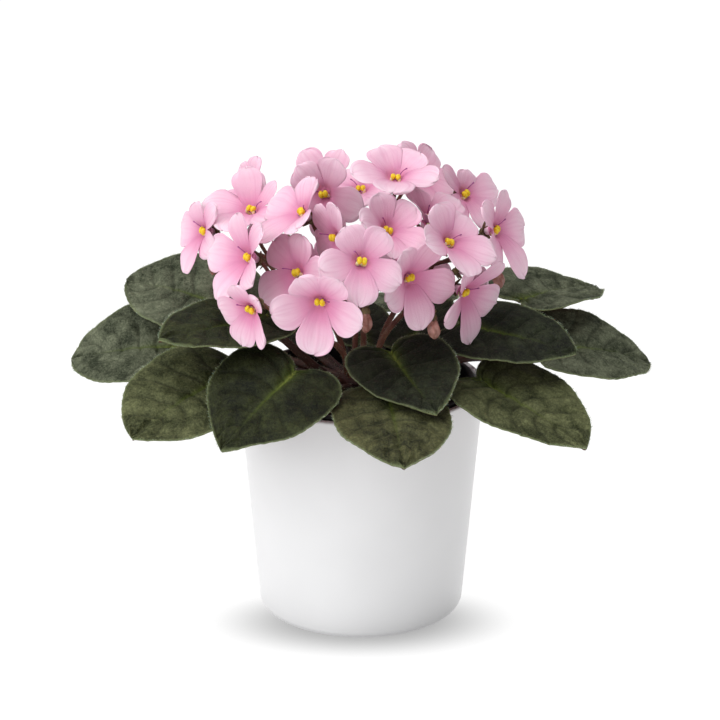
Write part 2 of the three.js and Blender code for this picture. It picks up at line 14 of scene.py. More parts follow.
import bpy
import numpy as np
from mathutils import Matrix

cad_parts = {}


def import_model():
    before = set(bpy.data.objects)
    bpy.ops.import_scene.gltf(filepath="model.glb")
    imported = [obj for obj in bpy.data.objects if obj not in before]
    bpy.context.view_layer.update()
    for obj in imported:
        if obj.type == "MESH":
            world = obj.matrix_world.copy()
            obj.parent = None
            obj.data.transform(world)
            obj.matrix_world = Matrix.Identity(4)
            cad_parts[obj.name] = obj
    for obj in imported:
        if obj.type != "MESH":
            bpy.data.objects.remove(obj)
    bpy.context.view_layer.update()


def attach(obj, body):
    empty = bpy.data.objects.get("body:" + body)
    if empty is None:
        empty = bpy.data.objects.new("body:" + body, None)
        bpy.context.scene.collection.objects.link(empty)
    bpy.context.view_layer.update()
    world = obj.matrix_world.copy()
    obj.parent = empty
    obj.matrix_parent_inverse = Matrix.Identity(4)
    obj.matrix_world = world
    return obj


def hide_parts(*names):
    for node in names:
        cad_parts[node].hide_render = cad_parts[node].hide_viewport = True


LOG = logging.getLogger("violet")
MM = 0.001
BODY = "root"

UP = np.array([0.0, 0.0, 1.0])

# The small radius at which every turned profile starts and ends, in millimetres.
CORE = 1.0

# The hairs of stalks: where they start as a share of the stalk's radius, how far they lean, and how
# wide they are at the root and at the tip in millimetres. Real hairs are too thin to show, so these
# and the blades' hairs are drawn wider than they are.
HAIR_FOOT = 0.9
HAIR_LEAN = 0.25
HAIR_WIDTH = 0.1
HAIR_TIP = 0.04

Array = np.ndarray
Random = np.random.Generator
Tree = bpy.types.NodeTree
Node = bpy.types.Node
Material = bpy.types.Material

# A flower's right, up and facing directions.
Frame = tuple[Array, Array, Array]

# Where a pattern's source starts and ends, and what it gives there.
Range = tuple[float, float, float, float]

# A noise pattern's grain in millimetres, its number of octaves and their roughness.
Grain = tuple[float, float, float]


class Slot(Enum):
    """The material slots, by name."""

    POT = "pot"
    GROW_POT = "grow_pot"
    SOIL = "soil"
    STEM = "stem"
    LEAF = "leaf"
    STALK = "flower_stalk"
    FLOWER = "flower"


# Shells and meshes


@dataclass
class Shell:
    """A surface as plain arrays, whose faces of one doubled corner are triangles.

    Attributes:
        points: Corner places in millimetres, one row each.
        quads: Faces of four corners.
        form: Three values for each point, which a finish reads as the "form" attribute.
        finish: Which of the piece's finishes each face takes.
    """

    points: Array
    quads: Array
    form: Array
    finish: Array

    @staticmethod
    def joined(shells: list[Shell]) -> Shell:
        """Puts several shells into one, each with its corner numbers moved on.

        Args:
            shells: The shells, in the order of their corner numbers.

        Returns:
            One shell with all their faces.
        """
        starts = np.cumsum([0] + [len(shell.points) for shell in shells[:-1]])
        return Shell(
            np.concatenate([shell.points for shell in shells]),
            np.concatenate([shell.quads + start for shell, start in zip(shells, starts)]),
            np.concatenate([shell.form for shell in shells]),
            np.concatenate([shell.finish for shell in shells]),
        )

    def dressed(self, number: int) -> Shell:
        """The same shell with all its faces in the piece's finish of that number."""
        return Shell(self.points, self.quads, self.form, np.full(len(self.quads), number))


def wrapped(rings: Array, form: Array | None = None) -> Shell:
    """Closes a grid round its second direction, with a fan to a middle point at either end.

    Args:
        rings: Places of shape (rows, points in a ring, 3).
        form: Values of shape (rows, points in a ring, 3), or none for zeros.

    Returns:
        The closed shell, turned so that its faces point outwards.
    """
    rows, count, _ = rings.shape
    form = np.zeros_like(rings) if form is None else form
    here = np.arange(rows * count).reshape(rows, count)
    on = np.roll(here, -1, axis=1)
    quads = np.stack([here[:-1], on[:-1], on[1:], here[1:]], axis=-1).reshape(-1, 4)
    ends = np.stack([rings[0].mean(axis=0), rings[-1].mean(axis=0)])
    points = np.concatenate([rings.reshape(-1, 3), ends])
    values = np.concatenate([form.reshape(-1, 3), form[[0, -1]].mean(axis=1)])
    first, last = np.full(count, rows * count), np.full(count, rows * count + 1)
    start = np.stack([on[0], here[0], first, first], axis=-1)
    stop = np.stack([here[-1], on[-1], last, last], axis=-1)
    quads = np.concatenate([quads, start, stop])
    a, b, c, d = (points[quads[:, k]] - points.mean(axis=0) for k in range(4))
    volume = np.sum(a * (np.cross(b, c) + np.cross(c, d)))
    if volume < 0:
        quads = quads[:, ::-1]
    return Shell(points, quads, values, np.zeros(len(quads), dtype=int))


def ribbons(roots: Array, tips: Array, across: Array, width: float, tip_width: float) -> Shell:
    """One flat hair of two triangles for each root: a strip from its root to its tip.

    Args:
        roots: Where the hairs stand, in millimetres.
        tips: Where they end.
        across: The unit direction of each hair's width.
        width: Width at the root.
        tip_width: Width at the tip.

    Returns:
        The strips, one quad each.
    """
    corners = [
        roots - across * width / 2,
        roots + across * width / 2,
        tips + across * tip_width / 2,
        tips - across * tip_width / 2,
    ]
    points = np.stack(corners, axis=1).reshape(-1, 3)
    quads = np.arange(4 * len(roots)).reshape(-1, 4)
    return Shell(points, quads, np.zeros_like(points), np.zeros(len(quads), dtype=int))


def there_and_back(front: Array, back: Array) -> Array:
    """Rings that run across the front of a thin sheet and home across its back."""
    return np.concatenate([front, back[:, ::-1]], axis=1)


def round_angles(count: int) -> Array:
    """Equal angles once round, from zero."""
    return np.linspace(0, 2 * np.pi, count, endpoint=False)


def crowded(count: int, amount: float) -> Array:
    """One row of shares from -1 to 1 that crowd towards both ends as the sine of the amount."""
    return np.sin(np.linspace(-1, 1, count)[None] * amount) / np.sin(amount)


def bell(distance: Array, width: float | Array) -> Array:
    """A bell of height one: e to the power of minus the square of distance over width."""
    return np.exp(-((distance / width) ** 2))


def unit(vectors: Array) -> Array:
    """Vectors scaled to a length of one along the last axis."""
    return vectors / np.maximum(np.linalg.norm(vectors, axis=-1, keepdims=True), 1e-9)


def bezier(controls: Array, t: Array) -> Array:
    """A cubic Bezier curve: the four control points blended by Bernstein's cubic weights at t.

    Args:
        controls: The four control points.
        t: Where to read the curve, from 0 to 1.

    Returns:
        One place for each t.
    """
    t = np.asarray(t, dtype=float)[..., None]
    weights = [(1 - t) ** 3, 3 * t * (1 - t) ** 2, 3 * t**2 * (1 - t), t**3]
    return sum(weight * point for weight, point in zip(weights, np.asarray(controls, dtype=float)))


def spline(knots: Array, steps: int, span_steps: int = 40) -> Array:
    """A centripetal Catmull-Rom curve through the knots, at steps + 1 places equally far apart.

    Each span is a cubic whose end slopes come from its neighbours, weighted by the square roots of
    the distances between knots. A mirrored knot stands past either end.

    Args:
        knots: The places that it passes through.
        steps: How many steps it is cut into.
        span_steps: How many places each span is worked out at.

    Returns:
        The places on the curve.
    """
    ends = [2 * knots[0] - knots[1], *knots, 2 * knots[-1] - knots[-2]]
    t = np.linspace(0, 1, span_steps, endpoint=False)[:, None]
    spans = []
    for p0, p1, p2, p3 in zip(ends, ends[1:], ends[2:], ends[3:]):
        pairs = ((p0, p1), (p1, p2), (p2, p3))
        before, span, after = (np.sqrt(np.linalg.norm(b - a)) for a, b in pairs)
        leave = span * ((p1 - p0) / before - (p2 - p0) / (before + span) + (p2 - p1) / span)
        arrive = span * ((p2 - p1) / span - (p3 - p1) / (span + after) + (p3 - p2) / after)
        cubic = 2 * p1 - 2 * p2 + leave + arrive
        square = -3 * p1 + 3 * p2 - 2 * leave - arrive
        spans.append(p1 + leave * t + square * t**2 + cubic * t**3)
    return evenly(np.concatenate([*spans, [knots[-1]]]), steps)


def evenly(path: Array, steps: int) -> Array:
    """The places on a path that split its length into equal steps.

    Args:
        path: Places along a path.
        steps: How many steps its length is cut into.

    Returns:
        The steps + 1 places.
    """
    lengths = np.concatenate([[0], np.cumsum(np.linalg.norm(np.diff(path, axis=0), axis=1))])
    wanted = np.linspace(0, lengths[-1], steps + 1)
    return np.stack([np.interp(wanted, lengths, path[:, k]) for k in range(3)], axis=1)


def cross_sections(path: Array) -> tuple[Array, Array]:
    """Two unit directions square to a path at each of its points, with no twist.

    The first is square to the tangent and to the normal of the plane that fits the path best, and
    the second is square to both the tangent and the first.

    Args:
        path: Places along a path.

    Returns:
        The two directions at each place.
    """
    tangent = unit(np.gradient(path, axis=0))
    plane = np.linalg.svd(path - path.mean(axis=0))[2][-1]
    first = unit(np.cross(plane, tangent))
    return first, np.cross(tangent, first)


def tube(path: Array, radius: Array, sides: int) -> Shell:
    """A round stalk: a circle of the given radius carried along a path.

    Args:
        path: Places along the middle, in millimetres.
        radius: The radius at each of them.
        sides: How many points go round.

    Returns:
        The closed stalk.
    """
    first, second = cross_sections(path)
    angle = round_angles(sides)[None, :, None]
    around = np.cos(angle) * first[:, None] + np.sin(angle) * second[:, None]
    rings = path[:, None] + np.broadcast_to(radius, len(path))[:, None, None] * around
    return wrapped(rings)


def tube_hairs(path: Array, radius: Array, count: int, length: float, rng: Random) -> Shell:
    """Short hairs that stand out from a stalk: each from the skin outwards, with a small lean.

    Args:
        path: Places along the stalk's middle, in millimetres.
        radius: The stalk's radius.
        count: How many hairs it has.
        length: Their usual length in millimetres.
        rng: The source of chance.

    Returns:
        The hairs as flat strips.
    """
    first, second = cross_sections(path)
    place = rng.uniform(0.02, 0.98, count) * (len(path) - 1)
    low = place.astype(int)
    share = (place - low)[:, None]
    middle = path[low] * (1 - share) + path[low + 1] * share
    angle = rng.uniform(0, 2 * np.pi, count)[:, None]
    outwards = unit(np.cos(angle) * first[low] + np.sin(angle) * second[low])
    skin = np.broadcast_to(radius, len(path))[low][:, None]
    roots = middle + outwards * skin * HAIR_FOOT
    lean = rng.normal(0, HAIR_LEAN, (count, 3))
    tips = roots + unit(outwards + lean) * length * rng.uniform(0.6, 1.1, (count, 1))
    across = unit(np.cross(outwards, rng.normal(0, 1, (count, 3))))
    return ribbons(roots, tips, across, HAIR_WIDTH, HAIR_TIP)


def turned(profile: Array, sides: int) -> Array:
    """A profile carried round the Z axis, as rings of shape (rows, sides, 3).

    Args:
        profile: Rows of radius and height.
        sides: How many points go round.

    Returns:
        The rings.
    """
    angle = round_angles(sides)
    radius = profile[:, 0:1]
    height = np.broadcast_to(profile[:, 1:2], (len(profile), sides))
    return np.stack([radius * np.cos(angle), radius * np.sin(angle), height], axis=-1)


def rounded(corners: list[tuple[float, float, float]], steps: int = 6) -> Array:
    """A profile through corners of radius, height and rounding, each corner cut by a small arc.

    The arc is a quadratic curve from a point before the corner to one after it, each as far from
    the corner as its rounding says.

    Args:
        corners: The radius, the height and the rounding of each corner.
        steps: How many points make an arc.

    Returns:
        The profile as rows of radius and height.
    """
    points = np.array([corner[:2] for corner in corners], dtype=float)
    profile = [points[:1]]
    t = np.linspace(0, 1, steps)[:, None]
    for before, corner, after, (_, _, rounding) in zip(points, points[1:], points[2:], corners[1:]):
        start = corner + unit(before - corner) * rounding
        stop = corner + unit(after - corner) * rounding
        profile.append((1 - t) ** 2 * start + 2 * t * (1 - t) * corner + t**2 * stop)
    return np.concatenate([*profile, points[-1:]])


def add_piece(name: str, shell: Shell, finishes: list[Material], slot: Slot, *nodes: str) -> None:
    """Puts a shell into a mesh in metres, and has it stand for its nodes of the frame.

    A face with a doubled corner, early or late in its row, is a triangle.

    Args:
        name: The new object's name.
        shell: Its surface.
        finishes: Its materials, in the order of the shell's finish numbers.
        slot: The piece's material slot. It is not used.
        nodes: The frame's nodes that it stands for.
    """
    late, early = shell.quads[:, 2] == shell.quads[:, 3], shell.quads[:, 0] == shell.quads[:, 1]
    whole = shell.quads[~late & ~early]
    fans = np.concatenate([shell.quads[late][:, :3], shell.quads[early][:, 1:]])
    corners = np.concatenate([whole.ravel(), fans.ravel()]).astype(np.int32)
    four, three = 4 * np.arange(len(whole)), 4 * len(whole) + 3 * np.arange(len(fans))
    starts = np.concatenate([four, three]).astype(np.int32)
    finish = np.concatenate([shell.finish[chosen] for chosen in (~late & ~early, late, early)])
    mesh = bpy.data.meshes.new(name)
    mesh.vertices.add(len(shell.points))
    mesh.vertices.foreach_set("co", (shell.points * MM).astype(np.float32).ravel())
    mesh.loops.add(len(corners))
    mesh.loops.foreach_set("vertex_index", corners)
    mesh.polygons.add(len(starts))
    mesh.polygons.foreach_set("loop_start", starts)
    mesh.polygons.foreach_set("material_index", finish.astype(np.int32))
    mesh.polygons.foreach_set("use_smooth", np.ones(len(starts), dtype=bool))
    values = mesh.attributes.new("form", "FLOAT_VECTOR", "POINT")
    values.data.foreach_set("vector", shell.form.astype(np.float32).ravel())
    for material in finishes:
        mesh.materials.append(material)
    mesh.update(calc_edges=True)
    mesh.validate()
    piece = bpy.data.objects.new(name, mesh)
    bpy.context.scene.collection.objects.link(piece)
    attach(piece, BODY)
    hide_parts(*nodes)
    LOG.info("%s: %d triangles", name, 2 * len(whole) + len(fans))


# Finishes


def linear(colour: str) -> tuple[float, float, float, float]:
    """Turns an sRGB hex colour to linear light by the standard curve, with full alpha.

    Args:
        colour: Six hex digits after a hash.

    Returns:
        Red, green, blue and alpha.
    """
    channels = np.array([int(colour[k : k + 2], 16) for k in (1, 3, 5)]) / 255
    low, high = channels / 12.92, ((channels + 0.055) / 1.055) ** 2.4
    red, green, blue = np.where(channels <= 0.04045, low, high)
    return float(red), float(green), float(blue), 1.0


def add_node(tree: Tree, kind: str, inputs: dict | None = None, **settings: object) -> Node:
    """Adds one node to a material.

    Args:
        tree: The material's node tree.
        kind: The node's type.
        inputs: What goes into its sockets, by name or number: a value, or a node and its output.
        settings: The node's own properties.

    Returns:
        The new node.
    """
    node = tree.nodes.new(kind)
    for name, value in settings.items():
        setattr(node, name, value)
    for socket, value in (inputs or {}).items():
        if isinstance(value, tuple) and isinstance(value[0], Node):
            tree.links.new(value[0].outputs[value[1]], node.inputs[socket])
        else:
            node.inputs[socket].default_value = value
    return node


@dataclass(frozen=True)
class Finish:
    """What every finish has in common: a name, a roughness and how to become a material."""

    name: str
    roughness: float

    def shader(self, tree: Tree) -> Node:
        """Adds the nodes of the finish and returns its shader."""
        raise NotImplementedError

    def material(self) -> Material:
        """The finish as a material whose shader goes to the surface, made once and then found.

        Returns:
            The material.
        """
        found = bpy.data.materials.get(self.name)
        if found:
            return found
        material = bpy.data.materials.new(self.name)
        material.use_nodes = True
        tree = material.node_tree
        tree.nodes.clear()
        add_node(tree, "ShaderNodeOutputMaterial", {"Surface": (self.shader(tree), 0)})
        return material


@dataclass(frozen=True)
class VioletLeaf(Finish):
    """A living violet blade: a matt olive skin under a nap of short pale hairs.

    The nap gives the eye a soft grey velvet, uneven where it lies in different ways. Towards the
    plant's middle the blade is darker: painted shade from the flowers above. Round the base of the
    midrib the green turns yellow and bright, the margin is a fine pale line, and the underside is
    dull and reddish.
    The single hairs of the nap are too fine to show, so the colour has coarser speckles for them.
    The "form" attribute gives the midrib, which is below zero on the underside, the margin and the
    side veins. The side veins' dark colour is painted shade in their sunken grooves.
    """

    dark: str
    light: str
    # Painted shade: the dark in the grooves of the sunken side veins.
    vein: str = "#12160a"
    rib: str = "#848f42"
    glow: str = "#55641f"
    edge: str = "#7f8a60"
    under: str = "#5b3a30"
    down: str = "#dcdcc4"
    patch: Grain = (14, 2.0, 0.5)
    nap: Grain = (0.7, 2.0, 0.6)
    fleck: Grain = (4.5, 3.0, 0.65)
    cell_mm: float = 2.6
    # Painted shade: the light green's share is scaled down towards the plant's middle.
    painted_shade_from_mm: float = 45
    painted_shade_to_mm: float = 112
    painted_shade_by_reach: tuple[float, float] = (0.55, 1.05)
    cells: Range = (0.0, 0.3, 0.7, 1.02)
    speckles: Range = (0.35, 0.65, -0.17, 0.3)
    flecks: Range = (0.36, 0.66, -0.13, 0.34)
    patches: Range = (0.34, 0.66, 0.08, 0.58)
    halo: Range = (0.0, 0.5, 0.0, 0.6)
    ribbing: Range = (0.5, 1.0, 0.0, 0.85)
    underside: float = -0.85
    fleck_height: float = 3.0
    cell_height: float = 1.8
    bump: float = 0.6
    bump_mm: float = 0.4
    specular: float = 0.16
    sheen: float = 0.04
    sheen_roughness: float = 0.5

    def shader(self, tree: Tree) -> Node:
        """Nodes: two greens by patches and nap, with painted vein shade, margin, midrib and
        underside.

        The share of the light green is the sum of speckles, flecks and patches, times the cells,
        times a painted shade that grows darker towards the plant's middle, under the flowers.

        Args:
            tree: The material's node tree.

        Returns:
            The node of the surface.
        """
        place = add_node(tree, "ShaderNodeTexCoord")
        form = add_node(tree, "ShaderNodeAttribute", attribute_name="form")
        split = add_node(tree, "ShaderNodeSeparateXYZ", {0: (form, "Vector")})
        here = (place, "Object")
        patch, nap, fleck = (
            add_node(
                tree,
                "ShaderNodeTexNoise",
                {"Vector": here, "Scale": 1000 / size, "Detail": detail, "Roughness": rough},
            )
            for size, detail, rough in (self.patch, self.nap, self.fleck)
        )
        cell = add_node(
            tree,
            "ShaderNodeTexVoronoi",
            {"Vector": here, "Scale": 1000 / self.cell_mm},
            feature="DISTANCE_TO_EDGE",
        )
        level = add_node(
            tree, "ShaderNodeVectorMath", {0: here, 1: (1.0, 1.0, 0.0)}, operation="MULTIPLY"
        )
        reach = add_node(tree, "ShaderNodeVectorMath", {0: (level, 0)}, operation="LENGTH")
        # Painted shade: darker towards the plant's middle, under the flowers.
        painted_shade_range = (self.painted_shade_from_mm * MM, self.painted_shade_to_mm * MM, *self.painted_shade_by_reach)
        ranges = (
            ((cell, 0), self.cells, "LINEAR"),
            ((nap, 0), self.speckles, "LINEAR"),
            ((fleck, 0), self.flecks, "LINEAR"),
            ((patch, 0), self.patches, "SMOOTHSTEP"),
            ((reach, "Value"), painted_shade_range, "LINEAR"),
            ((split, 0), self.halo, "LINEAR"),
            ((split, 0), self.ribbing, "LINEAR"),
        )
        cells, speckles, flecks, patches, painted_shade_by_reach, halo, rib = (
            add_node(
                tree,
                "ShaderNodeMapRange",
                {0: source} | dict(enumerate(limits, 1)),
                interpolation_type=course,
            )
            for source, limits, course in ranges
        )
        shade = speckles
        steps = ((flecks, "ADD"), (patches, "ADD"), (cells, "MULTIPLY"), (painted_shade_by_reach, "MULTIPLY"))
        for part, sum_or_product in steps:
            shade = add_node(
                tree, "ShaderNodeMath", {0: (shade, 0), 1: (part, 0)}, operation=sum_or_product
            )
        below = add_node(
            tree, "ShaderNodeMath", {0: (split, 0), 1: self.underside}, operation="LESS_THAN"
        )
        colour = add_node(
            tree,
            "ShaderNodeMix",
            {0: (shade, 0), 6: linear(self.dark), 7: linear(self.light)},
            data_type="RGBA",
        )
        coats = (
            ((split, 2), self.vein),
            ((split, 1), self.edge),
            ((halo, 0), self.glow),
            ((rib, 0), self.rib),
            ((below, 0), self.under),
        )
        for share, tone in coats:
            colour = add_node(
                tree,
                "ShaderNodeMix",
                {0: share, 6: (colour, 2), 7: linear(tone)},
                data_type="RGBA",
            )
        height = nap
        for part, scale in ((fleck, self.fleck_height), (cells, self.cell_height)):
            height = add_node(
                tree,
                "ShaderNodeMath",
                {0: (part, 0), 1: scale, 2: (height, 0)},
                operation="MULTIPLY_ADD",
            )
        bump = add_node(
            tree,
            "ShaderNodeBump",
            {"Height": (height, 0), "Strength": self.bump, "Distance": self.bump_mm * MM},
        )
        return add_node(
            tree,
            "ShaderNodeBsdfPrincipled",
            {
                "Base Color": (colour, 2),
                "Roughness": self.roughness,
                "Specular IOR Level": self.specular,
                "Sheen Weight": self.sheen,
                "Sheen Roughness": self.sheen_roughness,
                "Sheen Tint": linear(self.down),
                "Normal": (bump, 0),
            },
        )


@dataclass(frozen=True)
class Petal(Finish):
    """A thin living petal: soft pink, paler to the margin and flushed round the throat.

    A little light passes into the thin sheet, so its shadows stay pink; its fine cells make it
    matt, and faint veins run along it. The cells are too fine to show, so they are drawn as grains
    of more than half a millimetre. The flowers at the top of the dome are paler by a painted
    highlight where the light from above falls on them, and the low ones keep their pink. The
    "form" attribute gives the way along the lobe, the way across it and a value of its own for
    each lobe.
    """

    pale: str = "#f4d4e2"
    main: str = "#eaabc8"
    deep: str = "#d0719f"
    streak: str = "#da93b6"
    streaks: float = 11.0
    streak_stretch: float = 1.3
    streak_start: float = 97.0
    sparkle_mm: float = 0.6
    streaking: Range = (0.46, 0.72, 0.0, 0.36)
    throat: Range = (0.06, 0.6, 0.85, 0.0)
    outer: Range = (0.34, 0.92, 0.0, 1.0)
    flank: Range = (0.3, 0.5, 0.0, 0.45)
    # Painted highlight: the upper flowers turn paler between these heights, as lit from above.
    painted_light_from_mm: float = 158
    painted_light_full_mm: float = 192
    painted_top_light: float = 0.5
    sparkle_height: float = 0.5
    bump: float = 0.5
    bump_mm: float = 0.3
    specular: float = 0.12
    translucent: float = 0.12
    light_path: tuple[float, float, float] = (1.0, 0.5, 0.65)
    light_path_mm: float = 0.5

    def shader(self, tree: Tree) -> Node:
        """Nodes: throat to margin by the way along the petal, with streaks stretched along it.

        The share of the pale tone is the largest of three: the way out to the margin, the way out
        to either flank, and a painted highlight that grows with height.

        Args:
            tree: The material's node tree.

        Returns:
            The node of the surface.
        """
        place = add_node(tree, "ShaderNodeTexCoord")
        form = add_node(tree, "ShaderNodeAttribute", attribute_name="form")
        split = add_node(tree, "ShaderNodeSeparateXYZ", {0: (form, "Vector")})
        along, across, which = (
            add_node(tree, "ShaderNodeMath", {0: (split, k), 1: scale}, operation="MULTIPLY")
            for k, scale in enumerate((self.streak_stretch, self.streaks, self.streak_start))
        )
        stretched = add_node(
            tree, "ShaderNodeCombineXYZ", {0: (across, 0), 1: (along, 0), 2: (which, 0)}
        )
        veins = add_node(
            tree, "ShaderNodeTexNoise", {"Vector": (stretched, 0), "Scale": 1.0, "Detail": 2.0}
        )
        sparkle = add_node(
            tree,
            "ShaderNodeTexNoise",
            {"Vector": (place, "Object"), "Scale": 1000 / self.sparkle_mm, "Detail": 1.0},
        )
        off_middle = add_node(
            tree, "ShaderNodeMath", {0: (split, 1), 1: 0.5}, operation="SUBTRACT"
        )
        aside = add_node(tree, "ShaderNodeMath", {0: (off_middle, 0)}, operation="ABSOLUTE")
        level = add_node(tree, "ShaderNodeSeparateXYZ", {0: (place, "Object")})
        # Painted highlight by height.
        painted_top_light_range = (self.painted_light_from_mm * MM, self.painted_light_full_mm * MM, 0.0, self.painted_top_light)
        ranges = (
            ((veins, 0), self.streaking, "LINEAR"),
            ((split, 0), self.throat, "SMOOTHSTEP"),
            ((split, 0), self.outer, "LINEAR"),
            ((aside, 0), self.flank, "LINEAR"),
            ((level, 2), painted_top_light_range, "LINEAR"),
        )
        streak, throat, outer, flank, painted_top_light = (
            add_node(
                tree,
                "ShaderNodeMapRange",
                {0: source} | dict(enumerate(limits, 1)),
                interpolation_type=course,
            )
            for source, limits, course in ranges
        )
        paler = outer
        for part in (flank, painted_top_light):
            paler = add_node(
                tree, "ShaderNodeMath", {0: (paler, 0), 1: (part, 0)}, operation="MAXIMUM"
            )
        colour = add_node(
            tree,
            "ShaderNodeMix",
            {0: (paler, 0), 6: linear(self.main), 7: linear(self.pale)},
            data_type="RGBA",
        )
        for share, tone in ((streak, self.streak), (throat, self.deep)):
            colour = add_node(
                tree,
                "ShaderNodeMix",
                {0: (share, 0), 6: (colour, 2), 7: linear(tone)},
                data_type="RGBA",
            )
        height = add_node(
            tree,
            "ShaderNodeMath",
            {0: (sparkle, 0), 1: self.sparkle_height, 2: (veins, 0)},
            operation="MULTIPLY_ADD",
        )
        bump = add_node(
            tree,
            "ShaderNodeBump",
            {"Height": (height, 0), "Strength": self.bump, "Distance": self.bump_mm * MM},
        )
        return add_node(
            tree,
            "ShaderNodeBsdfPrincipled",
            {
                "Base Color": (colour, 2),
                "Roughness": self.roughness,
                "Specular IOR Level": self.specular,
                "Subsurface Weight": self.translucent,
                "Subsurface Radius": self.light_path,
                "Subsurface Scale": self.light_path_mm * MM,
                "Normal": (bump, 0),
            },
        )


@dataclass(frozen=True)
class Mottled(Finish):
    """A matt skin of two tones in patches, with a fine grain: stalks, anthers, hairs and crumbs."""

    first: str
    second: str
    patch_mm: float
    bump_mm: float
    specular: float = 0.3
    translucent: float = 0.0
    mottling: Range = (0.35, 0.65, 0.0, 1.0)
    bump: float = 0.6
    light_path_mm: float = 1.0

    def shader(self, tree: Tree) -> Node:
        """Nodes: noise between the two tones, and the same noise as a bump.

        Args:
            tree: The material's node tree.

        Returns:
            The node of the surface.
        """
        place = add_node(tree, "ShaderNodeTexCoord")
        noise = add_node(
            tree,
            "ShaderNodeTexNoise",
            {"Vector": (place, "Object"), "Scale": 1000 / self.patch_mm, "Detail": 4.0},
        )
        share = add_node(
            tree, "ShaderNodeMapRange", {0: (noise, 0)} | dict(enumerate(self.mottling, 1))
        )
        tone = add_node(
            tree,
            "ShaderNodeMix",
            {0: (share, 0), 6: linear(self.first), 7: linear(self.second)},
            data_type="RGBA",
        )
        bump = add_node(
            tree,
            "ShaderNodeBump",
            {"Height": (noise, 0), "Strength": self.bump, "Distance": self.bump_mm * MM},
        )
        return add_node(
            tree,
            "ShaderNodeBsdfPrincipled",
            {
                "Base Color": (tone, 2),
                "Roughness": self.roughness,
                "Specular IOR Level": self.specular,
                "Subsurface Weight": self.translucent,
                "Subsurface Scale": self.light_path_mm * MM,
                "Normal": (bump, 0),
            },
        )


@dataclass(frozen=True)
class Glaze(Finish):
    """White glazed earthenware: an even satin skin with the slow waves in which its glaze ran."""

    body: str = "#efeff0"
    pooled: str = "#e9e9ea"
    wave_mm: float = 24
    grain_mm: float = 0.8
    grain_height: float = 0.03
    bump: float = 0.15
    bump_mm: float = 0.3
    coat: float = 0.15
    coat_roughness: float = 0.3

    def shader(self, tree: Tree) -> Node:
        """Nodes: two near whites by slow waves, a slight bump of both, and a thin clear coat.

        Args:
            tree: The material's node tree.

        Returns:
            The node of the surface.
        """
        place = add_node(tree, "ShaderNodeTexCoord")
        wave, grain = (
            add_node(
                tree,
                "ShaderNodeTexNoise",
                {"Vector": (place, "Object"), "Scale": 1000 / size, "Detail": 1.0},
            )
            for size in (self.wave_mm, self.grain_mm)
        )
        tone = add_node(
            tree,
            "ShaderNodeMix",
            {0: (wave, 0), 6: linear(self.body), 7: linear(self.pooled)},
            data_type="RGBA",
        )
        height = add_node(
            tree,
            "ShaderNodeMath",
            {0: (grain, 0), 1: self.grain_height, 2: (wave, 0)},
            operation="MULTIPLY_ADD",
        )
        bump = add_node(
            tree,
            "ShaderNodeBump",
            {"Height": (height, 0), "Strength": self.bump, "Distance": self.bump_mm * MM},
        )
        return add_node(
            tree,
            "ShaderNodeBsdfPrincipled",
            {
                "Base Color": (tone, 2),
                "Roughness": self.roughness,
                "Coat Weight": self.coat,
                "Coat Roughness": self.coat_roughness,
                "Normal": (bump, 0),
            },
        )


@dataclass(frozen=True)
class LightTable(Finish):
    """An opal acrylic table lit from below, whose even white hides the shadows; the foot's is
    painted.

    A painted shadow lowers the glow in an oval round the pot's foot, a little in front of the pot,
    with a soft edge. The glow rises by a smooth step between the inner and the outer reach, both
    measured to the front; the oval is wider than deep by its stretch.
    """

    opal: str = "#646464"
    milky: str = "#686868"
    lit: str = "#ffffff"
    glow: float = 0.97
    # Painted shadow round the pot's foot: how deep it is, where it is centred and how far it
    # reaches.
    painted_shadow_depth: float = 0.61
    painted_shadow_front_mm: float = 28
    painted_shadow_inner_mm: float = 13
    painted_shadow_outer_mm: float = 44
    painted_shadow_stretch: float = 1.75
    cloud_mm: float = 80

    def shader(self, tree: Tree) -> Node:
        """Nodes: two near greys by slow clouds, and the table's glow, lowered by the painted
        shadow.

        Args:
            tree: The material's node tree.

        Returns:
            The node of the surface.
        """
        place = add_node(tree, "ShaderNodeTexCoord")
        cloud = add_node(
            tree,
            "ShaderNodeTexNoise",
            {"Vector": (place, "Object"), "Scale": 1000 / self.cloud_mm},
        )
        tone = add_node(
            tree,
            "ShaderNodeMix",
            {0: (cloud, 0), 6: linear(self.opal), 7: linear(self.milky)},
            data_type="RGBA",
        )
        # Painted shadow: the stretched distance from its centre in front of the foot.
        reach = (place, "Object")
        steps = (
            ((0.0, self.painted_shadow_front_mm * MM, 0.0), "ADD"),
            ((1 / self.painted_shadow_stretch, 1.0, 0.0), "MULTIPLY"),
            ((0.0, 0.0, 0.0), "LENGTH"),
        )
        for amount, operation in steps:
            node = add_node(
                tree, "ShaderNodeVectorMath", {0: reach, 1: amount}, operation=operation
            )
            reach = (node, "Value" if operation == "LENGTH" else "Vector")
        painted_shadow_reach = (self.painted_shadow_inner_mm * MM, self.painted_shadow_outer_mm * MM, 1.0, 0.0)
        fade = add_node(
            tree,
            "ShaderNodeMapRange",
            {0: reach} | dict(enumerate(painted_shadow_reach, 1)),
            interpolation_type="SMOOTHSTEP",
        )
        light = add_node(
            tree,
            "ShaderNodeMath",
            {0: (fade, 0), 1: -self.painted_shadow_depth, 2: self.glow},
            operation="MULTIPLY_ADD",
        )
        return add_node(
            tree,
            "ShaderNodeBsdfPrincipled",
            {
                "Base Color": (tone, 2),
                "Roughness": self.roughness,
                "Specular IOR Level": 0.0,
                "Emission Color": linear(self.lit),
                "Emission Strength": (light, 0),
            },
        )


# Glazed earthenware, fired once more after dipping: a clean satin white.
GLAZE = Glaze("white_glazed_earthenware", 0.32)

# Cast acrylic with a sanded face: an even opal white.
TABLE = LightTable("opal_acrylic_table", 0.6)

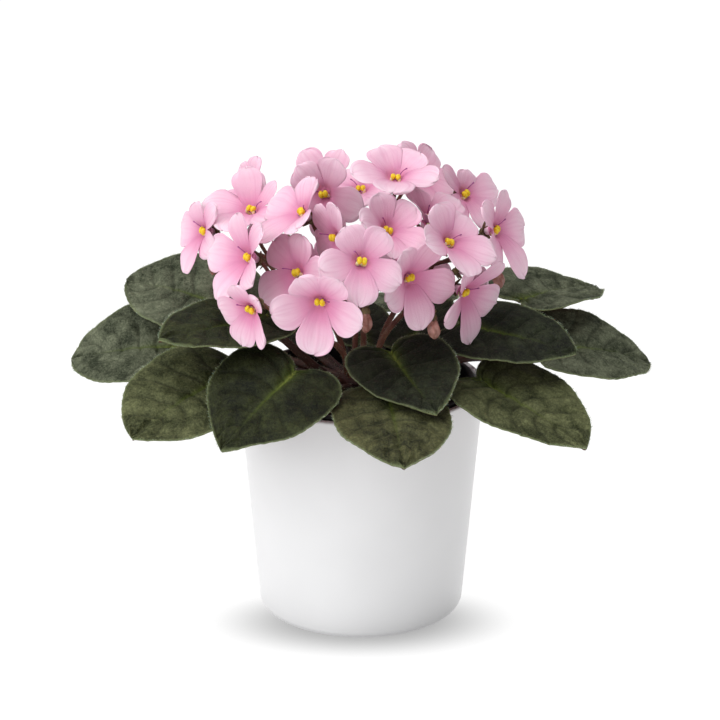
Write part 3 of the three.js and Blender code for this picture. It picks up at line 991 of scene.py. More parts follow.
# Moulded in a spark-eroded mould: black and dull, with a fine even grain. The real grain of about
# 0.1 mm is too fine to show, so it is drawn coarser.
PLASTIC = Mottled(
    "black_moulded_polypropylene",
    0.48,
    "#111113",
    "#1b1b1e",
    patch_mm=0.9,
    bump_mm=0.03,
    specular=0.5,
)

# Shredded peat: nearly black, crumbly and fibrous, with no shine.
PEAT = Mottled("dark_peat_mix", 0.95, "#1c130d", "#3a2a1d", 2.2, bump_mm=0.5, specular=0.15)

# Juicy stalks whose red sap shows through a smooth skin: dark and softly glossy.
LEAF_STALK = Mottled(
    "reddish_leaf_stalk", 0.55, "#2c1511", "#4a2d20", 9, 0.15, specular=0.35, translucent=0.1
)

# The flowers' stalks are younger and thinner: a paler red brown that lets some light through.
FLOWER_STALK = Mottled(
    "reddish_flower_stalk", 0.55, "#5a3028", "#7d5540", 7, 0.1, specular=0.35, translucent=0.12
)

# Long hairs are clear cell tubes: thin lines that look pale where they catch light.
HAIR = Mottled("pale_plant_hair", 0.5, "#8f9a7c", "#b7bda4", 3, 0.02, translucent=0.2)

# Short hairs that stand close on a blade: a grey green down.
NAP = Mottled("short_leaf_nap", 0.6, "#3f4733", "#5c634b", 3, 0.02, specular=0.2)

# Ripe anthers: a full warm yellow, dull with pollen.
ANTHER = Mottled("yellow_anther", 0.6, "#dfb30f", "#f7dd3a", 1.2, 0.1, translucent=0.15)

# The style: a waxy violet thread.
STYLE = Mottled("violet_style", 0.5, "#8a3a72", "#a65290", 2, 0.02, translucent=0.1)

# Filaments: waxy and cream, with little green in them.
FILAMENT = Mottled("cream_filament", 0.55, "#e6d58c", "#f3ecc2", 1.5, 0.03, translucent=0.2)

# Closed and spent lobes: a dry brownish pink.
BUD = Mottled("faded_bud_petal", 0.6, "#8d5c50", "#bb8c82", 2.5, 0.15, translucent=0.2)

# Sepals: green skin over red sap, which the eye takes for a dull brown green.
SEPAL = Mottled("brown_green_sepal", 0.6, "#54402f", "#7a6c48", 3, 0.15, translucent=0.1)

# Open lobes: thin, matt and soft pink.
PETAL = Petal("violet_petal", 0.6)

# The blades' tones: the outer ones are grey with an older nap. The inner ones are darker,
# partly by their fresher green and partly by painted shade from the flowers above.
GREY_LEAF = VioletLeaf("grey_violet_leaf_blade", 0.66, "#292f20", "#787d66")
OLD_LEAF = VioletLeaf("old_violet_leaf_blade", 0.64, "#242911", "#6f734e")
OLIVE_LEAF = VioletLeaf("olive_violet_leaf_blade", 0.62, "#1e200f", "#696a45")
SHADED_GREEN_LEAF = VioletLeaf("green_violet_leaf_blade", 0.62, "#0b0f05", "#414728")
YOUNG_SHADED_LEAF = VioletLeaf("dark_violet_leaf_blade", 0.6, "#090c05", "#3a412b")


# The pots and the potting mix


@dataclass
class CoverPot:
    """The white cover pot: a plain tapered shell with a floor, in millimetres."""

    height: float = 105
    rim_radius: float = 55
    base_radius: float = 46
    foot_radius: float = 45.2
    foot_rise: float = 1.6
    wall: float = 3
    floor: float = 4
    lip: float = 1.4
    foot_rounding: float = 0.3
    heel_rounding: float = 1.1
    floor_rounding: float = 4.0
    sides: int = 128

    def surface(self) -> Shell:
        """The outer wall, the rounded lip, the inner wall and the floor as one turned profile.

        Returns:
            The closed shell.
        """
        slope = (self.rim_radius - self.base_radius) / self.height
        inner_low = self.base_radius - self.wall + slope * self.floor
        corners = [
            (CORE, 0.0, 0.0),
            (self.foot_radius, 0.0, self.foot_rounding),
            (self.base_radius + slope * self.foot_rise, self.foot_rise, self.heel_rounding),
            (self.rim_radius, self.height, self.lip),
            (self.rim_radius - self.wall, self.height, self.lip),
            (inner_low, self.floor, self.floor_rounding),
            (CORE, self.floor, 0.0),
        ]
        return wrapped(turned(rounded(corners), self.sides))

    def build(self) -> None:
        """Makes the pot in its glaze."""
        add_piece("cover_pot", self.surface(), [GLAZE.material()], Slot.POT, "pot")


@dataclass
class GrowersPot:
    """The black pot inside, whose rolled rim shows between the leaves, in millimetres."""

    base_radius: float = 36
    neck_radius: float = 48.6
    rim_radius: float = 51
    bottom: float = 4.3
    floor: float = 1.5
    wall: float = 1.2
    neck_height: float = 98
    shoulder: float = 99
    rim_top: float = 106.3
    foot_rounding: float = 1.0
    band_rounding: float = 0.4
    lip: float = 1.1
    inner_rounding: float = 0.8
    sides: int = 112

    def surface(self) -> Shell:
        """The tapered wall, the wider rim band and the inside as one turned profile.

        Returns:
            The closed shell.
        """
        floor = self.bottom + self.floor
        corners = [
            (CORE, self.bottom, 0.0),
            (self.base_radius, self.bottom, self.foot_rounding),
            (self.neck_radius, self.neck_height, self.band_rounding),
            (self.rim_radius, self.shoulder, self.band_rounding),
            (self.rim_radius, self.rim_top, self.lip),
            (self.neck_radius, self.rim_top, self.lip),
            (self.neck_radius - self.wall, self.shoulder, self.inner_rounding),
            (self.base_radius - self.wall, floor, self.inner_rounding),
            (CORE, floor, 0.0),
        ]
        return wrapped(turned(rounded(corners), self.sides))

    def inside(self, height: float) -> float:
        """The radius of the inside at a height between its floor and its shoulder.

        Args:
            height: The height in millimetres.

        Returns:
            The radius in millimetres.
        """
        floor = self.bottom + self.floor
        share = (height - floor) / (self.shoulder - floor)
        low = self.base_radius - self.wall
        return low + share * (self.neck_radius - self.wall - low)

    def build(self) -> None:
        """Makes the pot in black moulded polypropylene."""
        add_piece("growers_pot", self.surface(), [PLASTIC.material()], Slot.GROW_POT, "grow_pot")


@dataclass
class PottingMix:
    """Dark peat mix in the inner pot: a bumpy top, a plain hole for the crown, and loose crumbs."""

    pot: GrowersPot
    top: float = 96.5
    bottom: float = 6.1
    side_gap: float = 0.8
    hole: float = 8.7
    hole_depth: float = 24
    bump: float = 1.1
    sides: int = 120
    rows: int = 34
    crumbs: int = 420

    def height(self, x: Array, y: Array) -> Array:
        """The top's rise above its level: plane waves of several lengths, the shortest the lowest.

        Args:
            x: Places to the right of the middle, in millimetres.
            y: Places behind it.

        Returns:
            The rise at each place.
        """
        coarse = np.sin(x / 3.1 + y / 7.3) * np.cos(y / 4.3 - x / 11)
        coarse = coarse + 0.4 * np.sin(x / 1.7 - y / 2.3)
        fine = np.sin(x * 2.1 + 3 * np.sin(y * 0.9)) * np.sin(y * 2.4 + 2 * np.sin(x * 1.1))
        return self.bump * (coarse + 0.35 * fine)

    def surface(self) -> Shell:
        """A closed body: up the side, in across the bumpy top and down the hole.

        Returns:
            The closed body.
        """
        edge = self.pot.inside(self.top - 2) - self.side_gap
        reach = np.linspace(edge - 1.5, self.hole + 1.0, self.rows)
        foot = self.pot.inside(self.bottom) - self.side_gap
        profile = [[CORE, self.bottom], [foot, self.bottom + 1.5]]
        profile += [[edge, self.top - 2], [edge - 0.4, self.top - 0.6]]
        profile += [[radius, self.top] for radius in reach]
        profile += [[self.hole, self.top - 0.5], [self.hole, self.top - self.hole_depth]]
        profile += [[CORE, self.top - self.hole_depth]]
        rings = turned(np.array(profile), self.sides)
        below_top = len(profile) - self.rows - 3
        level = slice(below_top, below_top + self.rows)
        calm = np.clip((reach - self.hole) / 4, 0, 1) * np.clip((edge - reach) / 3, 0, 1)
        rings[level, :, 2] += calm[:, None] * self.height(rings[level, :, 0], rings[level, :, 1])
        return wrapped(rings)

    def loose_crumbs(self, rng: Random) -> Shell:
        """Small lumps of peat on the top: each a squashed seven-sided ball at a random place.

        Args:
            rng: The source of chance.

        Returns:
            All crumbs as one shell.
        """
        angle = rng.uniform(0, 2 * np.pi, self.crumbs)
        reach = np.sqrt(rng.uniform(0.07, 0.9, self.crumbs)) * (self.pot.inside(self.top - 2) - 2)
        x, y = reach * np.cos(angle), reach * np.sin(angle)
        centre = np.stack([x, y, self.top + 0.2 + self.height(x, y)], axis=1)
        size = rng.uniform(0.5, 1.7, (self.crumbs, 1, 1, 1))
        size = size * rng.uniform(0.6, 1.2, (self.crumbs, 1, 1, 3))
        polar = np.linspace(0.35, np.pi - 0.35, 4)[:, None]
        around = round_angles(7)[None]
        round_ball = [np.sin(polar) * np.cos(around), np.sin(polar) * np.sin(around)]
        round_ball.append(np.cos(polar) + 0 * around)
        ball = np.stack(round_ball, axis=-1)[None] * size
        ball = ball * rng.uniform(0.75, 1.2, (self.crumbs, 4, 7, 1))
        return Shell.joined([wrapped(one + middle) for one, middle in zip(ball, centre)])

    def build(self, rng: Random) -> None:
        """Makes the mix and its crumbs in one dark, dull, fibrous finish.

        Args:
            rng: The source of chance.
        """
        surface = Shell.joined([self.surface(), self.loose_crumbs(rng)])
        add_piece("potting_mix", surface, [PEAT.material()], Slot.SOIL, "soil")


# Leaf blades


@dataclass(frozen=True)
class Placed:
    """A blade's place and shape, in millimetres and degrees.

    Attributes:
        azimuth: The direction of its base from the plant's middle, from +X towards +Y.
        reach: How far its base is from the middle.
        height: How high its base is.
        turn: How far it turns from that direction.
        pitch: How far its tip points down.
        roll: How far it leans about its midrib.
        arch: How far its midrib bends from base to tip.
        length: Its length along the midrib.
        width: Its width from margin to margin.
        fold: How steeply its halves rise from the midrib.
        droop: How far its margins hang.
        blunt: How blunt its tip is, from 0 to about 0.4.
    """

    azimuth: float
    reach: float
    height: float
    turn: float
    pitch: float
    roll: float
    arch: float
    length: float
    width: float
    fold: float
    droop: float
    blunt: float = 0.2


# The front leaves were fitted to the photo and have fine grids. The rear and the young ones follow.
FRONT_LEAVES = 11
LEAVES = [
    Placed(157, 61, 130, 4, -16, -27, 20, 57, 51, 0.18, 2.7, 0.34),
    Placed(168, 81, 115, 0, 2, -27, 23, 58, 54, 0.24, 1.1, 0.3),
    Placed(203, 45, 141, 7, 0, -8, 4, 52, 48, 0.07, 0.9, 0.28),
    Placed(205, 63, 118, 22, 6, -13, 18, 59, 57, 0.12, 1.7, 0.34),
    Placed(238, 54, 125, -10, 21, -13, 14, 50, 58, 0.14, 1.5),
    Placed(-66, 32, 128, -2, 13, 8, -4, 52, 47, 0.17, 0.3),
    Placed(-78, 54, 118, -5, 7, -2, 12, 56, 51, 0.03, 3.2, 0.26),
    Placed(-32, 61.5, 116.5, -4, 14.5, 4, 9, 57.5, 57, 0.19, 2.6, 0.28),
    Placed(-11, 46, 134, -9, 3, 10, 9, 52, 52, 0.06, 1.1, 0.28),
    Placed(33, 89, 127, 11, -3, 5, 19, 52, 51, 0.24, 1.6, 0.22),
    Placed(18, 90, 111, 2, 4, 22, 27, 57, 50, 0.22, 2.0, 0.26),
    Placed(122, 75, 115, 0, 3, 0, 18, 55, 44, 0.15, 2),
    Placed(98, 77, 110, 0, 0, 4, 18, 57, 44, 0.16, 2),
    Placed(75, 77, 115, 0, 3, -4, 20, 57, 44, 0.15, 2),
    Placed(51, 73, 110, 0, 2, 0, 18, 54, 44, 0.16, 2),
    Placed(132, 33, 113, 0, -17, 3, 8, 29, 25, 0.1, 1),
    Placed(88, 33, 113, 0, -22, 0, 8, 32, 27, 0.1, 1),
    Placed(50, 31, 114, 0, -24, 3, 8, 37, 30, 0.1, 1),
]

# The tones of the blades by number; the darker ones are partly painted shade from the flowers
# above. All others are grey.
LEAF_TONES = {3: SHADED_GREEN_LEAF, 4: OLD_LEAF, 5: SHADED_GREEN_LEAF, 6: YOUNG_SHADED_LEAF, 7: OLIVE_LEAF, 8: OLD_LEAF}
LEAF_TONES |= {number: YOUNG_SHADED_LEAF for number in (9, 16, 17, 18)}


@dataclass
class LeafBlade:
    """One heart-shaped blade: quilted between sunken veins, with a scalloped, hairy margin."""

    number: int
    placed: Placed
    rows: int
    columns: int
    thickness: float = 0.9
    rim_thickness: float = 0.5
    lobe_share: float = 0.42
    midrib_power: float = 1.5
    first_vein: float = 0.1
    vein_step: float = 0.14
    vein_arc: float = 0.12
    vein_width: float = 0.01
    vein_depth: float = 0.56
    quilt: float = 1.15
    pucker_height: float = 0.26
    crossing_height: float = 0.24
    broad_height: float = 0.5
    margin_wave: float = 0.5
    midrib_depth: float = 0.6
    midrib_swell: float = 0.8
    vein_swell: float = 0.35
    swell_width: float = 9
    thickest: float = 1.6
    edge_width: float = 1.2
    teeth: int = 21
    tooth: float = 0.014
    nap_hairs: int = 2600
    nap_length: float = 0.55
    margin_hairs: int = 800
    margin_length: float = 0.95
    hair_lean: float = 0.35
    hair_width: float = 0.08
    hair_tip: float = 0.03
    usual_area: float = 2900
    usual_width: float = 52
    grid_ends: tuple = (0.006, 0.996)
    crowding: float = 1.35
    edge_tint: float = 0.55
    vein_shade_tint: float = 0.52
    lobe: tuple = ((0, 0), (-0.2, 0.06), (-0.26, 0.5), (0.26, 0.5))
    shoulder: tuple = ((0.26, 0.5), (0.6, 0.5))

    def __post_init__(self) -> None:
        """Works out the blade's own directions from its place."""
        heading, pitch, roll = np.radians(
            [self.placed.azimuth + self.placed.turn, self.placed.pitch, self.placed.roll]
        )
        angle = np.radians(self.placed.azimuth)
        reach = self.placed.reach
        self.base = np.array([reach * np.cos(angle), reach * np.sin(angle), self.placed.height])
        self.axis = np.array(
            [np.cos(heading) * np.cos(pitch), np.sin(heading) * np.cos(pitch), -np.sin(pitch)]
        )
        level = np.array([-np.sin(heading), np.cos(heading), 0.0])
        upright = np.cross(self.axis, level)
        self.side = level * np.cos(roll) + upright * np.sin(roll)
        self.face = upright * np.cos(roll) - level * np.sin(roll)
        self.bend = np.radians(self.placed.arch)
        blunt = self.placed.blunt
        self.flank = (*self.shoulder, (0.8 + 0.3 * blunt, blunt), (1, 0))

    def on_midrib(self, x: Array) -> tuple[Array, Array]:
        """Points on the midrib, a circular arc, and the way the blade faces there.

        Args:
            x: Shares of the blade's length.

        Returns:
            The points and the unit directions that stand on the blade.
        """
        angle = (self.bend * np.asarray(x, dtype=float))[..., None]
        radius = self.placed.length / self.bend
        point = self.base + radius * (np.sin(angle) * self.axis - (1 - np.cos(angle)) * self.face)
        return point, np.cos(angle) * self.face + np.sin(angle) * self.axis

    def flat(self, share: Array, side: Array) -> Array:
        """The heart laid flat, in shares of length and width.

        A straight line runs from the midrib to the margin for each share. The margin is two cubic
        curves, the lobe beside the notch and the flank to the tip, and its scallops are the
        positive halves of a sine along it.

        Args:
            share: How far along the midrib its places lie, from 0 to 1.
            side: How far out they lie, from -1 to 1 across the blade.

        Returns:
            Places as shares of the length and of the width.
        """
        rib = np.stack([share**self.midrib_power, np.zeros_like(share)], axis=-1)
        lobe = bezier(self.lobe, np.clip(share / self.lobe_share, 0, 1))
        flank = bezier(self.flank, np.clip((share - self.lobe_share) / (1 - self.lobe_share), 0, 1))
        margin = np.where((share < self.lobe_share)[..., None], lobe, flank)
        phase = np.pi * self.teeth * share + self.number
        scallop = self.tooth * (np.abs(np.sin(phase)) ** 0.7 - 0.6) + 0.008 * np.sin(phase / 3.3)
        reach = np.abs(side) * (1 + scallop * np.abs(side) ** 4)
        point = rib + (margin - rib) * reach[..., None]
        point[..., 1] *= np.sign(side)
        return point

    def veins(self, share: Array, side: Array) -> tuple[Array, Array]:
        """How near a point is to a side vein, and how far it lies between two, each from 0 to 1.

        A side vein leaves the midrib at a fixed share and bends on towards the tip as the 1.4th
        power of the way to the margin.

        Args:
            share: How far along the midrib its places lie, from 0 to 1.
            side: How far out they lie, from -1 to 1 across the blade.

        Returns:
            The nearness to a vein, and the way between two.
        """
        out = np.abs(side)
        count = (share - self.vein_arc * out**1.4 - self.first_vein) / self.vein_step
        count = count + 0.13 * np.sin(5.5 * out + 4 * share + 2.1 * self.number + np.sign(side))
        away = np.abs(count - np.round(count)) * self.vein_step
        near = bell(away, self.vein_width) * (count > -0.5) * (1 - 0.55 * out)
        between = np.sin(np.pi * np.mod(count, 1.0))
        return near, between

    def relief(self, share: Array, side: Array, across: Array) -> Array:
        """The height of the quilting: pillows between the veins, less the grooves.

        The pillows are half sines between neighbouring veins, swelled and crossed by slower waves
        over the blade. The veins and the midrib are narrow bells that sink into them, and the
        margin waves by the fourth power of the way out.

        Args:
            share: How far along the midrib its places lie, from 0 to 1.
            side: How far out they lie, from -1 to 1 across the blade.
            across: Their distances from the midrib in millimetres.

        Returns:
            The heights in millimetres.
        """
        out = np.abs(side)
        near, between = self.veins(share, side)
        pucker = np.cos(2 * np.pi * (3.4 * out + 2.2 * share + 0.37 * self.number))
        crossing = np.sin(9.0 * share * np.sign(side) + 14.0 * out + 1.7 * self.number)
        broad = np.sin(5.2 * share + 3.1 * self.number)
        broad = broad * np.sin(3.4 * out + 1.3 * np.sign(side) + self.number)
        pillow = self.quilt * between * (1 - out**3) * np.minimum(1, 5 * out) * (1 + 0.5 * broad)
        fine = self.pucker_height * between * pucker
        fine = fine + self.crossing_height * crossing * (1 - out**4)
        fine = fine + self.broad_height * broad * out * (1 - out**2)
        wave = np.sin(2 * np.pi * 3.2 * share + 1.9 * self.number + np.sign(side))
        wave = self.margin_wave * wave * out**4
        groove = self.midrib_depth * bell(across, 1.0) * (1 - 0.7 * share)
        return pillow + fine + wave - self.vein_depth * near - groove

    def top(self, share: Array, side: Array) -> tuple[Array, Array, Array]:
        """The upper face.

        The blade bends along its midrib, its halves rise from it by the fold, and its margins droop
        by the square of the way out.

        Args:
            share: How far along the midrib its places lie, from 0 to 1.
            side: How far out they lie, from -1 to 1 across the blade.

        Returns:
            The places, the directions that stand on the midrib there, and the distances from it.
        """
        flat = self.flat(share, side)
        point, up = self.on_midrib(flat[..., 0])
        across = flat[..., 1] * self.placed.width
        lift = self.placed.fold * (np.sqrt(across**2 + 1.4) - 1.2)
        lift = lift - self.placed.droop * (2 * flat[..., 1]) ** 2 + self.relief(share, side, across)
        scale = self.placed.width / self.usual_width
        point = point + across[..., None] * self.side + (lift * min(1.0, scale))[..., None] * up
        return point, up, across

    def surface(self) -> Shell:
        """The closed blade: across the top from margin to margin and back along the underside.

        The columns crowd towards the margins by a sine. The blade is thickest at the midrib and
        thins to the margin by a bell, with small ridges under its veins.

        Returns:
            The closed blade, with its midrib, margin and veins as form values.
        """
        share = np.linspace(*self.grid_ends, self.rows)[:, None]
        share, side = np.broadcast_arrays(share, crowded(self.columns, self.crowding))
        point, up, across = self.top(share, side)
        near, _ = self.veins(share, side)
        swell = (self.thickness - self.rim_thickness) * bell(np.abs(across), self.swell_width)
        thick = self.rim_thickness + swell + self.vein_swell * near * (1 - np.abs(side))
        thick = thick + self.midrib_swell * bell(across, 1.3) * (1 - share)
        below = point - np.minimum(thick, self.thickest)[..., None] * up
        half = np.maximum(np.abs(across[:, :1]), 1.0)
        edge = np.clip(1 - (1 - np.abs(side)) * half / self.edge_width, 0, 1) ** 1.3
        fade = np.clip(1.2 - 1.35 * share, 0, 1)
        rib = 0.62 * bell(across, 0.35 + 0.5 * (1 - share)) * fade
        rib = rib + 0.38 * bell(across, 0.8 + 4.6 * (1 - share) ** 2) * fade**2
        # The third value is the side veins' painted shade.
        form = np.stack([rib, self.edge_tint * edge, self.vein_shade_tint * near], axis=-1)
        under = np.stack([-1 - 0 * rib, edge, near], axis=-1)
        return wrapped(there_and_back(point, below), there_and_back(form, under))

    def hairs(self, rng: Random, share: Array, side: Array, length: float) -> Shell:
        """Short pale hairs that stand on the upper face, each leaning a little.

        A hair stands square to the face, whose slopes are taken over one small step each way, and
        near the margin it leans outwards.

        Args:
            rng: The source of chance.
            share: How far along the midrib its places lie, from 0 to 1.
            side: How far out they lie, from -1 to 1 across the blade.
            length: The hairs' usual length in millimetres.

        Returns:
            The hairs as flat strips.
        """
        step = 0.004
        root, _, _ = self.top(share, side)
        along = self.top(share + step, side)[0] - root
        over = self.top(share, side - step * np.sign(side))[0] - root
        stand = unit(np.cross(along, over) * -np.sign(side)[:, None])
        stand = stand * np.sign(np.sum(stand * self.face, axis=1, keepdims=True))
        outwards = unit(-over) * np.clip((np.abs(side) - 0.93) / 0.07, 0, 1)[:, None] * 1.6
        lean = rng.normal(0, self.hair_lean, root.shape)
        tips = root + unit(stand + outwards + lean) * length * rng.uniform(0.6, 1.2, (len(root), 1))
        wide = unit(np.cross(tips - root, rng.normal(0, 1, root.shape)))
        return ribbons(root, tips, wide, self.hair_width, self.hair_tip)

    def build(self, rng: Random) -> None:
        """Makes the blade and its hairs, in its tone, partly its own and partly painted shade.

        Args:
            rng: The source of chance.
        """
        area = self.placed.length * self.placed.width / self.usual_area
        count = int(self.nap_hairs * area)
        share, side = rng.uniform(0.03, 0.97, count), rng.uniform(-0.99, 0.99, count)
        nap = self.hairs(rng, share, side, self.nap_length)
        count = int(self.margin_hairs * np.sqrt(area))
        side = rng.choice([-1.0, 1.0], count) * rng.uniform(0.985, 0.999, count)
        fringe = self.hairs(rng, rng.uniform(0.02, 0.985, count), side, self.margin_length)
        shells = [self.surface(), nap.dressed(1), fringe.dressed(2)]
        tone = LEAF_TONES.get(self.number, GREY_LEAF)
        finishes = [tone.material(), NAP.material(), HAIR.material()]
        name = f"{self.number:02d}"
        add_piece(f"blade_{name}", Shell.joined(shells), finishes, Slot.LEAF, f"leaf_{name}")


# The crown with its leaf stalks


@dataclass
class Crown:
    """The short thick stem and the leaf stalks that grew from it, in millimetres."""

    blades: list[LeafBlade]
    radius: float = 2.1
    tip_radius: float = 0.9
    start_height: float = 103
    leave_stem_at: float = 12
    rise_to_blade: float = 0.1
    approach: float = 14
    knee: float = 45
    far_base: float = 66
    rim_reach: float = 50
    join_drop: float = 2
    rim_clear: float = 110
    under_blade: float = 0.42
    sink: float = -0.45
    stem_radius: float = 8.2
    shoulder_radius: float = 9.6
    stub_radius: float = 6.4
    waist_low: float = 84.5
    waist_high: float = 96.5
    stem_bottom: float = 72.8
    stem_top: float = 108
    steps: int = 44
    sides: int = 12
    stem_sides: int = 48
    ridges: int = 9
    hairs: int = 420
    hair_length: float = 1.0

    def path(self, blade: LeafBlade) -> Array:
        """A stalk's middle: out of the stem, over the pot's rim if it is long, and under its blade.

        It is a spline through the stem, a place above the rim, a knee in front of the blade's base,
        the base itself and two places under the midrib.

        Args:
            blade: The blade that the stalk carries.

        Returns:
            Places along the stalk's middle.
        """

        def below(x: float, radius: float) -> Array:
            """A place under the midrib, at which a stalk just sinks into the blade.

            Args:
                x: A share of the blade's length.
                radius: The stalk's radius there.

            Returns:
                The place of the stalk's middle.
            """
            point, up = blade.on_midrib(np.array(x))
            return point - up * (blade.thickness + radius - self.sink)

        angle = np.radians(blade.placed.azimuth)
        outwards = np.array([np.cos(angle), np.sin(angle), 0.0])
        join = below(0.0, self.radius)
        knee = np.radians(self.knee)
        approach = join - self.approach * (np.cos(knee) * blade.axis + np.sin(knee) * UP)
        approach[2] = max(approach[2], min(self.rim_clear, join[2] - self.join_drop))
        leave = outwards * self.leave_stem_at + UP * self.start_height
        leave[2] += self.rise_to_blade * max(0.0, join[2] - leave[2])
        knots = [UP * self.start_height, leave]
        if blade.placed.reach > self.far_base:
            knots.append(outwards * self.rim_reach + UP * self.rim_clear)
        knots += [approach, join, below(self.under_blade / 2, self.radius * 0.7)]
        knots.append(below(self.under_blade, self.tip_radius))
        return spline(np.array(knots), self.steps)

    def stem(self) -> Shell:
        """The stem as one turned profile, with slow ridges round it where old stalks left it.

        Returns:
            The closed stem.
        """
        corners = [
            (CORE, self.stem_bottom, 0.0),
            (self.stub_radius, self.stem_bottom, 1.0),
            (self.stem_radius, self.waist_low, 1.0),
            (self.stem_radius, self.waist_high, 1.0),
            (self.shoulder_radius, self.stem_top - 1.2, 1.2),
            (self.shoulder_radius - 1.6, self.stem_top, 0.8),
            (CORE, self.stem_top + 0.4, 0.0),
        ]
        rings = turned(rounded(corners), self.stem_sides)
        angle = np.arctan2(rings[..., 1], rings[..., 0])
        rings[..., :2] *= (1 + 0.02 * np.sin(self.ridges * angle + 0.4 * rings[..., 2]))[..., None]
        return wrapped(rings)

    def build(self, rng: Random) -> None:
        """Makes the stem and all leaf stalks with their hairs.

        Args:
            rng: The source of chance.
        """
        shells = [self.stem()]
        share = np.linspace(0, 1, self.steps + 1)
        radius = self.radius + (self.tip_radius - self.radius) * share**2
        for blade in self.blades:
            path = self.path(blade)
            shells.append(tube(path, radius, self.sides))
            shells.append(tube_hairs(path, radius, self.hairs, self.hair_length, rng).dressed(1))
        finishes = [LEAF_STALK.material(), HAIR.material()]
        add_piece("leaf_stalks", Shell.joined(shells), finishes, Slot.STEM, "crown")


# Flowers


@dataclass(frozen=True)
class Opened:
    """An open flower's place and pose, in millimetres and degrees.

    Attributes:
        x: The place of its throat to the right.
        y: The place of its throat to the back.
        z: The height of its throat.
        yaw: How far it faces to the right of the front.
        tilt: How far it faces upwards.
        spin: How far it is turned about the way it faces.
        size: The size that its lobes' lengths and widths are shares of.
        cup: The slope of its lobes.
        spray: The number of the spray that carries it.
    """

    x: float
    y: float
    z: float
    yaw: float
    tilt: float
    spin: float
    size: float
    cup: float
    spray: int


BLOOMS = [
    Opened(-17, -66, 164, -10, -10, 5, 19.5, 24, 3),
    Opened(0, -59, 179, 20, 30, 15, 18, 12, 3),
    Opened(-27, -30, 165, -45, 15, -25, 20, 14, 2),
    Opened(-48, -25, 170, -60, 20, 5, 21, 28, 2),
    Opened(-46, -58, 158, -40, -15, 15, 17, 22, 2),
    Opened(-68.5, 4.5, 173, -62.5, 14, 5, 18, 27, 1),
    Opened(-48, 6, 182, -25, 65, 10, 19, 20, 1),
    Opened(-25, -18, 188, -65, 45, 5, 18.5, 22, 6),
    Opened(-16, 5, 190, -25, 5, -15, 19, 14, 6),
    Opened(-11, -34, 182, -60, -5, -15, 19, 6, 3),
    Opened(11, -29, 183, 40, 45, 35, 17.5, 30, 4),
    Opened(15, 0, 198, 10, 70, 15, 19.5, 26, 6),
    Opened(37, -33, 179, 50, 40, 25, 18.5, 28, 4),
    Opened(20, -43, 167, 40, 0, 0, 19.5, 26, 4),
    Opened(44, -29, 156, 55, -15, 0, 19.5, 26, 4),
    Opened(46, 28, 183, 50, 30, -10, 17, 16, 5),
    Opened(58, -7, 177, 65, 15, -10, 19.5, 24, 5),
    Opened(29, -5, 181, 75, 60, -5, 18.5, 32, 5),
    Opened(0, 35, 183, -25, 70, -15, 18.5, 16, 6),
    Opened(-15.5, 54, 180.5, -14.5, 39.5, -13, 18.5, 20, 6),
    Opened(-49, 33, 183, -65, 20, -30, 18.5, 18, 1),
    Opened(25, 34, 190, 55, 35, 25, 19, 18, 6),
    Opened(-21, 55, 138, -175, 0, 5, 19, 16, 7),
    Opened(23, 55, 142, 160, 5, -10, 19, 20, 7),
    Opened(-48, 23, 155, -105, 10, 15, 18.5, 22, 1),
    Opened(48, 34, 146, 105, 5, 5, 18, 22, 5),
]


@dataclass(frozen=True)
class Lobe:
    """One lobe of a flower.

    Attributes:
        direction: Its direction in degrees, from the flower's right upwards.
        length: Its length as a share of the flower's size.
        width: Its width as a share of the flower's size.
        widest: Where it is widest, as a share of its length.
        layer: How far it lies in front of the hindmost lobe, in millimetres.
        flush: How much further out the throat's flush reaches.
        rise: How many degrees it stands up past the flower's cup.
    """

    direction: float
    length: float
    width: float
    widest: float
    layer: float
    flush: float = 0.0
    rise: float = 0.0


LOBES = [
    Lobe(-90, 1.08, 0.88, 0.62, 0.5),
    Lobe(-20, 1.0, 0.84, 0.62, 0.3),
    Lobe(56, 0.84, 0.7, 0.66, 0.0, 0.14),
    Lobe(124, 0.84, 0.7, 0.66, 0.1, 0.14),
    Lobe(200, 1.0, 0.84, 0.62, 0.25),
]

